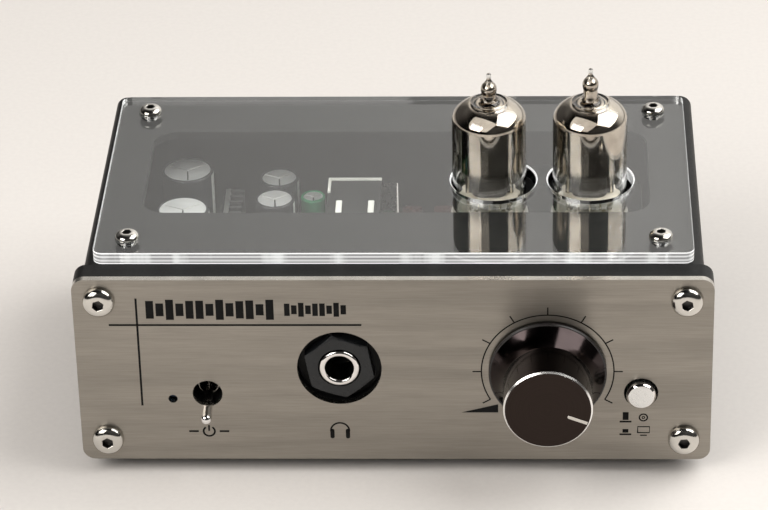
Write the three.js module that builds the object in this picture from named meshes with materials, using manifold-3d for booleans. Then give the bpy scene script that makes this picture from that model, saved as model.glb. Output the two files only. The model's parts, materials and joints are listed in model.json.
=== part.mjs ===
// A small desktop headphone amplifier with two plug-in tubes, as an assembly of separate solids.
// Millimetres, +Z up, +X to the right of someone facing the controls, who looks along +Y.
// While it is laid out, the front panel's face is y = 0, its lower edge z = 0 and its middle x = 0.
// The finished group is moved so that the origin is under the middle of the whole object.

import * as THREE from "three";
import { mergeVertices } from "three/addons/utils/BufferGeometryUtils.js";
import Module from "manifold-3d";

const wasm = await Module();
wasm.setup();

// ---- driving dimensions ----

const PANEL = { width: 150, height: 50, thick: 1.7, corner: 3 };
const BEZEL_BACK = 7.1; // the black plate behind the silver panel ends here
const BODY = { width: 146, wall: 2, corner: 3, rear: 88.5 };
const REAR_FACE = 90.2; // outer face of the rear panel
const COVER = { width: 141, front: 7.3, rear: 84.7, thick: 3, corner: 2.3 };
const WINDOW = { width: 122, front: 28.4, rear: 68.5, corner: 6 };
const FOOT = { radius: 6, height: 4, x: 60, front: 14, rear: 76 };
const JACK_REACH = 99.1; // rearmost point of the line-in jacks

const CASE_SCREW = {
  x: 68.7,
  inset: 5.8, // from the panel's top and bottom edges
  head: 3.8,
  headHeight: 2.2,
  hexFlats: 2.5,
  shank: 1.9,
  length: 12,
};
const COVER_SCREW = {
  x: 62.9,
  front: 14.4,
  rear: 76.6,
  head: 2.85,
  headHeight: 1.65,
  hexFlats: 2,
  shank: 1.4,
  length: 7,
};

const BOARD = { under: 11.4, top: 13, halfWidth: 69.8, front: 8.3, rear: 87.4 };
const TUBE_BOARD = { under: 31, top: 32.6 };

const TUBE = { y: 42.3, radius: 8.95, wall: 0.9, seat: 42.8, glassFoot: 44, shoulder: 69.3 };
const TUBE_HOLE = { radius: 10.25, x: [23.4, 46.8] };
const TUBES = [
  { side: "left", x: 22.4, tip: 81.9 },
  { side: "right", x: 46.6, tip: 83.1 },
];

const KNOB = { x: 36.3, z: 24.8, skirt: 13.9, grip: 10.4, face: -16.7, back: -0.4 };
const JACK = { x: -12.8, z: 25.7, hole: 10, bore: 3.3, ring: 4.76, nutRound: 8.75, nutTurn: 40 };
const TOGGLE = { x: -44.3, z: 18.6, hole: 3.55, bushing: 2.5, pivotY: 8, reach: 15.2, tilt: 13 };
const BUTTON = { x: 58.35, z: 18.8, hole: 4.05, cap: 3.5, face: -1.9 };
const LAMP = { x: -52.6, z: 17.1, hole: 1.1, radius: 1.5 };

const LINE_IN = { z: 24, x: [22, 36], shell: 4.15 };
const USB = { x: -8, width: 12, height: 10.8 };
const POWER_IN = { x: 56, z: 19.5, width: 9, bore: 3.15, pin: 1.05 };

const FINE = 28; // sides of a large round
const MEDIUM = 16;
const COARSE = 10;

// ---- materials ----

function finish(color, roughness, metalness, extra = {}) {
  return new THREE.MeshStandardMaterial({ color, roughness, metalness, ...extra });
}

const FINISH = {
  brushed: finish(0x9a948a, 0.38, 1),
  black: finish(0x1d1d1d, 0.5, 0.2),
  acrylic: finish(0xe8eeee, 0.05, 0, { transparent: true, opacity: 0.3 }),
  steel: finish(0xc9c7c2, 0.25, 1),
  chrome: finish(0xd8d8d8, 0.08, 1),
  knob: finish(0x241d1c, 0.22, 0.7),
  rubber: finish(0x151515, 0.85, 0),
  glass: finish(0xb9b2a6, 0.05, 0.6, { transparent: true, opacity: 0.6 }),
  electrode: finish(0x55524e, 0.45, 0.9),
  ceramic: finish(0xd9d3c4, 0.4, 0),
  board: finish(0x1f5a36, 0.5, 0.1),
  plastic: finish(0x161616, 0.45, 0),
  sleeve: finish(0x20242c, 0.3, 0),
  green: finish(0x2f7a4d, 0.3, 0),
  film: finish(0x8b2a22, 0.4, 0),
  aluminium: finish(0xb4b4b0, 0.35, 1),
  lamp: finish(0x30405a, 0.15, 0, { transparent: true, opacity: 0.7 }),
};

// ---- solids ----

// Six times the signed volume: negative when the faces point inwards.
function signedVolume(positions, corners) {
  const a = new THREE.Vector3();
  const b = new THREE.Vector3();
  const c = new THREE.Vector3();
  let sum = 0;
  for (let i = 0; i < corners.length; i += 3) {
    a.fromArray(positions, 3 * corners[i]);
    b.fromArray(positions, 3 * corners[i + 1]);
    c.fromArray(positions, 3 * corners[i + 2]);
    sum += a.dot(b.cross(c));
  }
  return sum;
}

// A closed three.js geometry as a solid whose faces point outwards.
function solid(geometry) {
  const bare = geometry.clone();
  bare.deleteAttribute("normal");
  bare.deleteAttribute("uv");
  const merged = mergeVertices(bare, 1e-4);
  const vertProperties = merged.attributes.position.array;
  const triVerts = new Uint32Array(merged.index.array);
  if (signedVolume(vertProperties, triVerts) < 0) triVerts.reverse();
  return new wasm.Manifold(new wasm.Mesh({ numProp: 3, vertProperties, triVerts }));
}

// A solid back as a three.js geometry.
function surface(body) {
  const { vertProperties, triVerts } = body.getMesh();
  const geometry = new THREE.BufferGeometry();
  geometry.setAttribute("position", new THREE.BufferAttribute(vertProperties, 3));
  geometry.setIndex(new THREE.BufferAttribute(triVerts, 1));
  geometry.computeVertexNormals();
  return geometry;
}

function join(first, ...others) {
  return others.reduce((sum, other) => sum.add(other), first);
}

function cut(first, ...others) {
  return others.reduce((rest, other) => rest.subtract(other), first);
}

function block([x0, x1], [y0, y1], [z0, z1]) {
  const box = new THREE.BoxGeometry(x1 - x0, y1 - y0, z1 - z0);
  return solid(box.translate((x0 + x1) / 2, (y0 + y1) / 2, (z0 + z1) / 2));
}

// A round bar along Y through (x, z).
function barY(radius, x, z, [y0, y1], sides = MEDIUM) {
  const bar = new THREE.CylinderGeometry(radius, radius, y1 - y0, sides);
  return solid(bar.translate(x, (y0 + y1) / 2, z));
}

// A round bar along Z through (x, y).
function barZ(radius, x, y, [z0, z1], sides = MEDIUM) {
  const bar = new THREE.CylinderGeometry(radius, radius, z1 - z0, sides);
  return solid(bar.rotateX(Math.PI / 2).translate(x, y, (z0 + z1) / 2));
}

// An outline of [radius, height] points turned round the Y axis.
function turned(profile, sides = MEDIUM) {
  return new THREE.LatheGeometry(
    profile.map(([r, h]) => new THREE.Vector2(r, h)),
    sides,
  );
}

function turnedY(profile, x, z, sides) {
  return solid(turned(profile, sides).translate(x, 0, z));
}

function turnedZ(profile, x, y, sides) {
  return solid(turned(profile, sides).rotateX(Math.PI / 2).translate(x, y, 0));
}

function roundedRectangle(x, y, width, height, radius) {
  const [w, h] = [width / 2, height / 2];
  const shape = new THREE.Shape();
  shape.absarc(x + w - radius, y + h - radius, radius, 0, Math.PI / 2);
  shape.absarc(x - w + radius, y + h - radius, radius, Math.PI / 2, Math.PI);
  shape.absarc(x - w + radius, y - h + radius, radius, Math.PI, 1.5 * Math.PI);
  shape.absarc(x + w - radius, y - h + radius, radius, 1.5 * Math.PI, 2 * Math.PI);
  return shape;
}

// A plate whose outline lies in XZ, from y0 to y1.
function plateY(shape, [y0, y1]) {
  const options = { depth: y1 - y0, bevelEnabled: false, curveSegments: 4 };
  return solid(new THREE.ExtrudeGeometry(shape, options).rotateX(Math.PI / 2).translate(0, y1, 0));
}

// A plate whose outline lies in XY, from z0 to z1.
function plateZ(shape, [z0, z1]) {
  const options = { depth: z1 - z0, bevelEnabled: false, curveSegments: 4 };
  return solid(new THREE.ExtrudeGeometry(shape, options).translate(0, 0, z0));
}

const amplifier = new THREE.Group();

function add(name, body, material) {
  const mesh = new THREE.Mesh(surface(body), material.clone());
  mesh.name = name;
  amplifier.add(mesh);
  return mesh;
}

// ---- case ----

const PANEL_MIDDLE = PANEL.height / 2;
const CASE_SCREW_ROWS = [
  ["top", PANEL.height - CASE_SCREW.inset],
  ["bottom", CASE_SCREW.inset],
];
const SIDES = [
  ["left", -1],
  ["right", 1],
];

function caseScrewSpots() {
  return SIDES.flatMap(([side, sign]) =>
    CASE_SCREW_ROWS.map(([row, z]) => ({ name: `${row}_${side}`, x: sign * CASE_SCREW.x, z })),
  );
}

function coverScrewSpots() {
  return SIDES.flatMap(([side, sign]) =>
    ["front", "rear"].map((end) => ({
      name: `${end}_${side}`,
      x: sign * COVER_SCREW.x,
      y: COVER_SCREW[end],
    })),
  );
}

const SCREW_CLEARANCE = 0.4;

function caseScrewHoles(reach) {
  const radius = CASE_SCREW.shank + SCREW_CLEARANCE;
  return caseScrewSpots().map(({ x, z }) => barY(radius, x, z, reach, COARSE));
}

const POT = { bushing: 3.7, bushingHole: 4, bushingTip: -3.6, front: 8.5, rear: 22, half: 10 };
const NUT_SEAT = 3.4; // floor of the recess that takes the jack's nut

function frontPanel() {
  const through = [-1, PANEL.thick + 1];
  const outline = roundedRectangle(0, PANEL_MIDDLE, PANEL.width, PANEL.height, PANEL.corner);
  return cut(
    plateY(outline, [0, PANEL.thick]),
    ...caseScrewHoles(through),
    barY(JACK.hole, JACK.x, JACK.z, through, FINE),
    barY(TOGGLE.hole, TOGGLE.x, TOGGLE.z, through),
    barY(BUTTON.hole, BUTTON.x, BUTTON.z, through),
    barY(LAMP.hole, LAMP.x, LAMP.z, through, COARSE),
    barY(POT.bushingHole, KNOB.x, KNOB.z, through),
  );
}

function frontBezel() {
  const through = [0, BEZEL_BACK + 1];
  const outline = roundedRectangle(0, PANEL_MIDDLE, PANEL.width, PANEL.height, PANEL.corner);
  return cut(
    plateY(outline, [PANEL.thick, BEZEL_BACK]),
    ...caseScrewHoles(through),
    barY(JACK.hole, JACK.x, JACK.z, [0, NUT_SEAT], FINE),
    barY(JACK.ring + 0.3, JACK.x, JACK.z, through),
    barY(TOGGLE.hole, TOGGLE.x, TOGGLE.z, through),
    barY(BUTTON.hole, BUTTON.x, BUTTON.z, through),
    barY(LAMP.radius + 0.3, LAMP.x, LAMP.z, through, COARSE),
    barY(POT.bushingHole, KNOB.x, KNOB.z, through),
  );
}

const RAIL = { reach: 3, thick: 1.5, gap: 0.2 };

// Two ledges along one side wall, with the circuit board's edge between them.
function boardRails(sign, length) {
  const inside = BODY.width / 2 - BODY.wall;
  const across = [inside - RAIL.reach, inside + 0.5].map((x) => sign * x).sort((a, b) => a - b);
  const lower = BOARD.under - RAIL.gap;
  const upper = BOARD.top + RAIL.gap;
  return [
    block(across, length, [lower - RAIL.thick, lower]),
    block(across, length, [upper, upper + RAIL.thick]),
  ];
}

function bodyShell() {
  const length = [BEZEL_BACK, BODY.rear];
  const past = [BEZEL_BACK - 1, BODY.rear + 1];
  const channel = CASE_SCREW.shank + 1.9;
  const outer = roundedRectangle(0, PANEL_MIDDLE, BODY.width, PANEL.height, BODY.corner);
  const inner = roundedRectangle(
    0,
    PANEL_MIDDLE,
    BODY.width - 2 * BODY.wall,
    PANEL.height - 2 * BODY.wall,
    1,
  );
  const window = roundedRectangle(
    0,
    (WINDOW.front + WINDOW.rear) / 2,
    WINDOW.width,
    WINDOW.rear - WINDOW.front,
    WINDOW.corner,
  );
  const tube = cut(plateY(outer, length), plateY(inner, past));
  const channels = caseScrewSpots().map(({ x, z }) => barY(channel, x, z, length, COARSE));
  const trimmed = join(tube, ...channels).intersect(plateY(outer, length));
  const railed = join(trimmed, ...SIDES.flatMap(([, sign]) => boardRails(sign, length)));
  return cut(
    railed,
    ...caseScrewHoles(past),
    plateZ(window, [PANEL.height - BODY.wall - 1, PANEL.height + 1]),
    ...coverScrewSpots().map(({ x, y }) =>
      barZ(COVER_SCREW.shank + 0.2, x, y, [PANEL.height - 4, PANEL.height + 1], COARSE),
    ),
  );
}

function rearPanel() {
  const through = [BODY.rear - 1, REAR_FACE + 1];
  const clear = 0.3;
  const outline = roundedRectangle(0, PANEL_MIDDLE, BODY.width, PANEL.height, BODY.corner);
  const usbHalf = USB.width / 2 + clear;
  return cut(
    plateY(outline, [BODY.rear, REAR_FACE]),
    ...caseScrewHoles(through),
    ...LINE_IN.x.map((x) => barY(LINE_IN.shell + clear, x, LINE_IN.z, through)),
    block([USB.x - usbHalf, USB.x + usbHalf], through, [
      BOARD.top - clear,
      BOARD.top + USB.height + clear,
    ]),
    barY(POWER_IN.width / 2 + clear, POWER_IN.x, POWER_IN.z, through),
  );
}

function topCover() {
  const sheet = [PANEL.height, PANEL.height + COVER.thick];
  const through = [sheet[0] - 1, sheet[1] + 1];
  const middle = (COVER.front + COVER.rear) / 2;
  const outline = roundedRectangle(0, middle, COVER.width, COVER.rear - COVER.front, COVER.corner);
  return cut(
    plateZ(outline, sheet),
    ...TUBE_HOLE.x.map((x) => barZ(TUBE_HOLE.radius, x, TUBE.y, through, FINE)),
    ...coverScrewSpots().map(({ x, y }) => barZ(COVER_SCREW.shank + 0.3, x, y, through, COARSE)),
  );
}

add("front_panel", frontPanel(), FINISH.brushed);
add("front_bezel", frontBezel(), FINISH.black);
add("body_shell", bodyShell(), FINISH.black);
add("rear_panel", rearPanel(), FINISH.black);
add("top_cover", topCover(), FINISH.acrylic);

// ---- fasteners and feet ----

// A round-headed socket screw standing along +Y, with the seat of its head at y = 0.
function buttonScrew({ head, headHeight, hexFlats, shank, length }) {
  const rim = 0.25 * headHeight;
  const profile = [[0, -length], [shank, -length], [shank, 0], [head, 0]];
  const flat = 0.45 * head;
  for (let step = 0; step <= 2; step += 1) {
    const angle = (step / 2) * (Math.PI / 2);
    const out = flat + (head - flat) * Math.cos(angle);
    profile.push([out, rim + (headHeight - rim) * Math.sin(angle)]);
  }
  profile.push([0, headHeight]);
  const corner = hexFlats / Math.sqrt(3);
  const socket = barY(corner, 0, 0, [0.35 * headHeight, headHeight + 1], 6);
  return cut(solid(turned(profile, COARSE)), socket);
}

for (const { name, x, z } of caseScrewSpots()) {
  const front = add(`front_screw_${name}`, buttonScrew(CASE_SCREW), FINISH.steel);
  front.position.set(x, 0, z);
  front.rotation.x = Math.PI;
  const rear = add(`rear_screw_${name}`, buttonScrew(CASE_SCREW), FINISH.steel);
  rear.position.set(x, REAR_FACE, z);
}
for (const { name, x, y } of coverScrewSpots()) {
  const screw = add(`cover_screw_${name}`, buttonScrew(COVER_SCREW), FINISH.steel);
  screw.position.set(x, y, PANEL.height + COVER.thick);
  screw.rotation.x = Math.PI / 2;
}

for (const [side, sign] of SIDES) {
  for (const end of ["front", "rear"]) {
    const profile = [
      [0, -FOOT.height],
      [FOOT.radius - 0.8, -FOOT.height],
      [FOOT.radius, -FOOT.height + 0.8],
      [FOOT.radius, 0],
      [0, 0],
    ];
    add(`foot_${end}_${side}`, turnedZ(profile, sign * FOOT.x, FOOT[end]), FINISH.rubber);
  }
}

// ---- tubes ----

const PIN = { circle: 4.76, radius: 0.5, length: 6.8, sides: 8 };

function pinSpots(x) {
  // Seven of eight equal places: the gap at the rear keys the tube.
  return Array.from({ length: 7 }, (_, i) => {
    const angle = Math.PI / 2 + ((i + 1) * Math.PI) / 4;
    return [x + PIN.circle * Math.cos(angle), TUBE.y + PIN.circle * Math.sin(angle)];
  });
}

// Half-profile of the glass from the shoulder to the sealed tip.
function crown(tip, inset) {
  const rise = 5.6;
  const points = [];
  for (let step = 0; step <= 5; step += 1) {
    const angle = (step / 5) * 1.1;
    points.push([
      (TUBE.radius - inset) * Math.cos(angle),
      TUBE.shoulder + (rise - inset) * Math.sin(angle),
    ]);
  }
  const bulb = tip - 4.4;
  if (inset > 0) return [...points, [1.2, bulb - 2.4], [0, bulb - 2.2]];
  return [
    ...points,
    [2.4, TUBE.shoulder + rise - 0.2],
    [1.6, bulb - 1.6],
    [1.95, bulb],
    [1.5, bulb + 1.4],
    [0.55, bulb + 2.7],
    [0.6, tip - 0.6],
    [0, tip],
  ];
}

function tubeEnvelope(x, tip) {
  const outer = [[TUBE.radius, TUBE.glassFoot + 0.6], ...crown(tip, 0)];
  const inner = [[TUBE.radius - TUBE.wall, TUBE.glassFoot], ...crown(tip, TUBE.wall)].reverse();
  const foot = [TUBE.radius - 0.3, TUBE.glassFoot];
  return turnedZ([...inner, foot, ...outer], x, TUBE.y, MEDIUM);
}

function tubeBase(x) {
  const button = turnedZ(
    [
      [0, TUBE.seat],
      [7.4, TUBE.seat],
      [8.5, TUBE.seat + 0.6],
      [8.5, TUBE.glassFoot],
      [0, TUBE.glassFoot],
    ],
    x,
    TUBE.y,
    MEDIUM,
  );
  const reach = [TUBE.seat - PIN.length, TUBE.seat + 0.4];
  return join(button, ...pinSpots(x).map(([px, py]) => barZ(PIN.radius, px, py, reach, PIN.sides)));
}

// Anode, mica spacers, getter ring and the wires that hold them, as one welded cage.
function tubeElectrodes(x) {
  const mica = 7.5;
  const wires = [-5.2, 5.2].map((dx) => barZ(0.45, x + dx, TUBE.y, [TUBE.glassFoot, 68.6], 8));
  const anode = barZ(4.2, x, TUBE.y, [49.5, 65], COARSE);
  const ring = new THREE.TorusGeometry(5.2, 0.45, 6, COARSE).translate(x, TUBE.y, 68.6);
  return join(
    anode,
    barZ(mica, x, TUBE.y, [49, 49.5]),
    barZ(mica, x, TUBE.y, [65, 65.5]),
    ...wires,
    solid(ring),
  );
}

function tubeSocket(x) {
  const profile = [
    [0, TUBE_BOARD.top],
    [8.2, TUBE_BOARD.top],
    [8.2, TUBE.seat - 2],
    [9.4, TUBE.seat - 2],
    [9.4, TUBE.seat - 0.6],
    [9, TUBE.seat - 0.2],
    [0, TUBE.seat - 0.2],
  ];
  const reach = [TUBE.seat - PIN.length - 1, TUBE.seat + 1];
  return cut(
    turnedZ(profile, x, TUBE.y, MEDIUM),
    barZ(1.7, x, TUBE.y, [TUBE_BOARD.top - 1, TUBE.seat + 1], COARSE),
    ...pinSpots(x).map(([px, py]) => barZ(PIN.radius + 0.35, px, py, reach, PIN.sides)),
  );
}

for (const { side, x, tip } of TUBES) {
  add(`tube_${side}_envelope`, tubeEnvelope(x, tip), FINISH.glass);
  add(`tube_${side}_base`, tubeBase(x), FINISH.glass);
  add(`tube_${side}_electrodes`, tubeElectrodes(x), FINISH.electrode);
  add(`tube_${side}_socket`, tubeSocket(x), FINISH.ceramic);
}

// ---- circuit boards and what stands on them ----

function onBoard(height) {
  return [BOARD.top, BOARD.top + height];
}

function canCapacitor(x, y, radius, height) {
  const [foot, top] = onBoard(height);
  const neck = radius - 0.5;
  return turnedZ(
    [
      [0, foot],
      [radius - 0.4, foot],
      [radius, foot + 0.5],
      [radius, foot + 2.4],
      [neck, foot + 3.1],
      [radius, foot + 3.8],
      [radius, top - 0.5],
      [radius - 0.5, top],
      [0, top],
    ],
    x,
    y,
    MEDIUM,
  );
}

// A stamped heat sink with its fins standing up, its flat side towards -X.
function heatSink(x, [y0, y1]) {
  const fins = [];
  for (let y = y0; y < y1 - 1; y += 2.7) fins.push(block([x + 1, x + 4.5], [y, y + 1], onBoard(23)));
  return join(block([x, x + 1.2], [y0, y1], onBoard(23)), ...fins);
}

const TUBE_BOARD_EDGE = { x: [10, 60], y: [30, 55] };

const CIRCUIT_BOARD = roundedRectangle(
  0,
  (BOARD.front + BOARD.rear) / 2,
  2 * BOARD.halfWidth,
  BOARD.rear - BOARD.front,
  1,
);
add("circuit_board", plateZ(CIRCUIT_BOARD, [BOARD.under, BOARD.top]), FINISH.board);
add(
  "tube_board",
  block(TUBE_BOARD_EDGE.x, TUBE_BOARD_EDGE.y, [TUBE_BOARD.under, TUBE_BOARD.top]),
  FINISH.board,
);
for (const [side, x] of [["left", 11], ["right", 56.5]]) {
  const body = block([x, x + 2.5], [32, 53], [BOARD.top, TUBE_BOARD.under]);
  add(`board_connector_${side}`, body, FINISH.plastic);
}

add("reservoir_capacitor_rear", canCapacitor(-53.8, 71, 6.5, 25), FINISH.sleeve);
add("reservoir_capacitor_front", canCapacitor(-53.4, 51.3, 6.5, 25), FINISH.sleeve);
add("output_capacitor_rear", canCapacitor(-31.2, 75.9, 5, 20), FINISH.sleeve);
add("output_capacitor_front", canCapacitor(-31.7, 65.2, 5, 20), FINISH.sleeve);
add("supply_choke", canCapacitor(-22.6, 73.4, 3.2, 16), FINISH.green);
add("output_relay", block([-18.4, -5], [54, 72], onBoard(22)), FINISH.plastic);
add("heat_sink", heatSink(-43.6, [52.5, 64.5]), FINISH.aluminium);
add("voltage_regulator", block([-46.8, -43.7], [53.5, 63.5], onBoard(19)), FINISH.plastic);
add("film_capacitor_left", block([0, 5], [60, 72], onBoard(14)), FINISH.film);
add("film_capacitor_right", block([8, 13], [60, 72], onBoard(14)), FINISH.film);

// ---- volume control ----

function potentiometer() {
  const { x, z } = KNOB;
  const can = block([x - POT.half, x + POT.half], [POT.front, POT.rear], [BOARD.top, z + POT.half]);
  const bushing = barY(POT.bushing, x, z, [POT.bushingTip, POT.front + 0.5]);
  return cut(join(can, bushing), barY(3.2, x, z, [POT.bushingTip - 1, POT.rear - 5]));
}

function hexNut(round, bore, x, z, [y0, y1], turn) {
  const hexagon = new THREE.CylinderGeometry(round, round, y1 - y0, 6);
  hexagon.rotateY(THREE.MathUtils.degToRad(90 - turn)).translate(x, (y0 + y1) / 2, z);
  return cut(solid(hexagon), barY(bore, x, z, [y0 - 1, y1 + 1]));
}

function volumeKnob() {
  const profile = [[0, -15.2], [3.3, -15.2], [3.3, -5], [8, -5], [8, KNOB.back]];
  profile.push([KNOB.skirt, KNOB.back], [KNOB.skirt, -1.1]);
  const rim = { out: KNOB.skirt - 0.45, y: -1.4 };
  const neck = { out: KNOB.grip, y: -6.3 };
  for (let step = 0; step <= 4; step += 1) {
    const share = step / 4;
    const out = rim.out + (neck.out - rim.out) * share - 0.35 * Math.sin(Math.PI * share);
    profile.push([out, rim.y + (neck.y - rim.y) * share]);
  }
  profile.push([KNOB.grip, KNOB.face + 0.4], [KNOB.grip - 0.5, KNOB.face], [0, KNOB.face]);
  return turnedY(profile, KNOB.x, KNOB.z, FINE);
}

add("potentiometer", potentiometer(), FINISH.aluminium);
add("potentiometer_nut", hexNut(6.2, 3.85, KNOB.x, KNOB.z, [-2.4, 0], 0), FINISH.steel);
add("potentiometer_shaft", barY(3, KNOB.x, KNOB.z, [-14.8, 14]), FINISH.aluminium);
add("volume_knob", volumeKnob(), FINISH.knob);

// ---- headphone jack ----

const JACK_BODY = { half: 8, front: 7.4, rear: 33, depth: 29 };

function headphoneJack() {
  const { half, front, rear, depth } = JACK_BODY;
  const housing = block([JACK.x - half, JACK.x + half], [front, rear], [BOARD.top, JACK.z + 8.6]);
  return cut(housing, barY(JACK.bore, JACK.x, JACK.z, [front - 1, depth]));
}

// The plated bushing whose rounded end shows as a bright ring.
function jackBushing() {
  const middle = (JACK.bore + JACK.ring) / 2;
  const profile = [
    [JACK.bore, 0.4],
    [JACK.bore, JACK_BODY.front],
    [JACK.ring, JACK_BODY.front],
    [JACK.ring, 0.2],
    [JACK.ring - 0.2, -0.2],
    [middle, -0.4],
    [JACK.bore + 0.25, -0.1],
    [JACK.bore, 0.4],
  ];
  return turnedY(profile, JACK.x, JACK.z, MEDIUM);
}

add("headphone_jack", headphoneJack(), FINISH.plastic);
add("jack_bushing", jackBushing(), FINISH.chrome);
add(
  "jack_nut",
  hexNut(JACK.nutRound, JACK.ring + 0.3, JACK.x, JACK.z, [0.1, NUT_SEAT], JACK.nutTurn),
  FINISH.plastic,
);

// ---- power switch, source button and lamp ----

function toggleSwitch() {
  const { x, z, bushing, pivotY } = TOGGLE;
  const housing = block([x - 2.6, x + 2.6], [8.6, 19], [BOARD.top, z + 4.6]);
  const socket = turnedY(
    [
      [0, 3.5],
      [2.2, 3.5],
      [1.7, pivotY],
      [1.7, pivotY + 3],
      [0, pivotY + 3],
    ],
    x,
    z,
    COARSE,
  );
  return cut(join(housing, barY(bushing, x, z, [4, 9])), socket);
}

// The lever lies along -Y from its pivot, then its mesh is tilted down to the position it rests in.
function toggleLever() {
  const { reach } = TOGGLE;
  return turnedY(
    [
      [0, 1.4],
      [1, 1],
      [1.35, 0],
      [0.9, -1.2],
      [0.95, -4],
      [1.15, -6],
      [1.35, -reach + 1.3],
      [1.25, -reach + 0.4],
      [0.8, -reach - 0.2],
      [0, -reach - 0.5],
    ],
    0,
    0,
    COARSE,
  );
}

function pushSwitch() {
  const { x, z } = BUTTON;
  const housing = block([x - 4, x + 4], [9.5, 24], [BOARD.top, z + 4]);
  return cut(housing, barY(1.9, x, z, [9, 15], COARSE));
}

function sourceButton() {
  const { face, cap } = BUTTON;
  const profile = [
    [0, face],
    [cap - 0.6, face],
    [cap, face + 0.6],
    [cap, 6],
    [1.6, 6],
    [1.6, 11.5],
    [0, 11.5],
  ];
  return turnedY(profile, BUTTON.x, BUTTON.z, MEDIUM);
}

function powerLamp() {
  const { x, z, radius } = LAMP;
  const lens = turnedY([[0, 1.8], [0.9, 2.1], [radius, 3.2], [radius, 8], [0, 8]], x, z, COARSE);
  return join(lens, block([x - 1, x + 1], [7.6, 9], [BOARD.top, z + 0.5]));
}

add("toggle_switch", toggleSwitch(), FINISH.plastic);
const lever = add("toggle_lever", toggleLever(), FINISH.chrome);
lever.position.set(TOGGLE.x, TOGGLE.pivotY, TOGGLE.z);
lever.rotation.x = THREE.MathUtils.degToRad(TOGGLE.tilt);
add("push_switch", pushSwitch(), FINISH.plastic);
add("source_button", sourceButton(), FINISH.aluminium);
add("power_lamp", powerLamp(), FINISH.lamp);

// ---- rear connectors ----

function lineInJack(x) {
  const { z, shell } = LINE_IN;
  const barrel = turnedY(
    [
      [0, 80],
      [shell, 80],
      [shell, JACK_REACH],
      [3.6, JACK_REACH],
      [3.6, 91.5],
      [2.3, 91.5],
      [2.3, JACK_REACH - 0.5],
      [1.6, JACK_REACH - 0.5],
      [1.6, 92],
      [0, 92],
    ],
    x,
    z,
    MEDIUM,
  );
  return join(block([x - 5, x + 5], [77, BODY.rear - 0.1], [BOARD.top, z + 5.5]), barrel);
}

function usbSocket() {
  const middle = BOARD.top + USB.height / 2;
  const half = USB.width / 2;
  const shell = block([USB.x - half, USB.x + half], [75, REAR_FACE + 0.8], onBoard(USB.height));
  const mouth = block([USB.x - 4.25, USB.x + 4.25], [82.5, 92], [middle - 3.9, middle + 3.9]);
  const tongue = block([USB.x - 2.8, USB.x + 2.8], [82, REAR_FACE - 0.4], [middle - 1.6, middle + 1.6]);
  return join(cut(shell, mouth), tongue);
}

function powerInlet() {
  const { x, z, width, bore, pin } = POWER_IN;
  const half = width / 2;
  const housing = block([x - half, x + half], [75, BODY.rear - 0.1], [BOARD.top, z + half]);
  const nose = barY(half, x, z, [86, REAR_FACE + 0.4]);
  const hole = barY(bore, x, z, [80, REAR_FACE + 1]);
  return join(cut(join(housing, nose), hole), barY(pin, x, z, [79, REAR_FACE - 1], COARSE));
}

for (const [index, side] of ["left", "right"].entries()) {
  add(`line_in_${side}`, lineInJack(LINE_IN.x[index]), FINISH.steel);
}
add("usb_socket", usbSocket(), FINISH.steel);
add("power_inlet", powerInlet(), FINISH.plastic);

// ---- frame ----

amplifier.position.set(0, -(KNOB.face + JACK_REACH) / 2, FOOT.height);

export default amplifier;
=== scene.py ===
"""The looks of a small tube headphone amplifier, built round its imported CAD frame, in metres."""

import json
import math
import random

import bmesh
import bpy
from mathutils import Matrix, Vector


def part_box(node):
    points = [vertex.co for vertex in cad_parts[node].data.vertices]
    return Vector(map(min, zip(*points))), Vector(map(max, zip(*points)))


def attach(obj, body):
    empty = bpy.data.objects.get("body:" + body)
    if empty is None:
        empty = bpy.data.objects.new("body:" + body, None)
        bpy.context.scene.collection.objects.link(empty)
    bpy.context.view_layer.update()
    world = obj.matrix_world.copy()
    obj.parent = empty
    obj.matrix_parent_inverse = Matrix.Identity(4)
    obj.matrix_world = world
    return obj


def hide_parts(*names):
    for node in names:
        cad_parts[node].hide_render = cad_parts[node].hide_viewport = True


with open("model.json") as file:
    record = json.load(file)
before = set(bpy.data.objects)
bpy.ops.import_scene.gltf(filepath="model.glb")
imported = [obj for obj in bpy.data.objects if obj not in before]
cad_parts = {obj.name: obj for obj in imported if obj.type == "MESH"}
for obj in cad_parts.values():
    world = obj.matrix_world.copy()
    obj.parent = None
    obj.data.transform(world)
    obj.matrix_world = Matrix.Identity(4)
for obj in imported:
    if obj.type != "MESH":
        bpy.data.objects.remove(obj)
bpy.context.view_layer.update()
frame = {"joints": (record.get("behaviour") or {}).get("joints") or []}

MM = 0.001
SIDES = ("left", "right")
ENDS = ("front", "rear")
FACE_CORNERS = [f"{row}_{side}" for row in ("top", "bottom") for side in SIDES]
PLAN_CORNERS = [f"{end}_{side}" for end in ENDS for side in SIDES]


def box_of(node):
    low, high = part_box(node)
    return low, high, (low + high) / 2


def joint_place(name):
    return Vector(next(j["pos_m"] for j in frame["joints"] if j["name"] == name))


# ---------------------------------------------------------------- mesh tools


def new_object(name, points, faces):
    mesh = bpy.data.meshes.new(name)
    mesh.from_pydata([tuple(p) for p in points], [], faces)
    made = bpy.data.objects.new(name, mesh)
    bpy.context.scene.collection.objects.link(made)
    work = bmesh.new()
    work.from_mesh(mesh)
    bmesh.ops.recalc_face_normals(work, faces=work.faces)
    work.to_mesh(mesh)
    work.free()
    return made


def bake(made):
    """Applies an object's modifiers to its mesh."""
    bpy.context.view_layer.update()
    graph = bpy.context.evaluated_depsgraph_get()
    mesh = bpy.data.meshes.new_from_object(made.evaluated_get(graph))
    made.modifiers.clear()
    made.data = mesh
    return made


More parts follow.
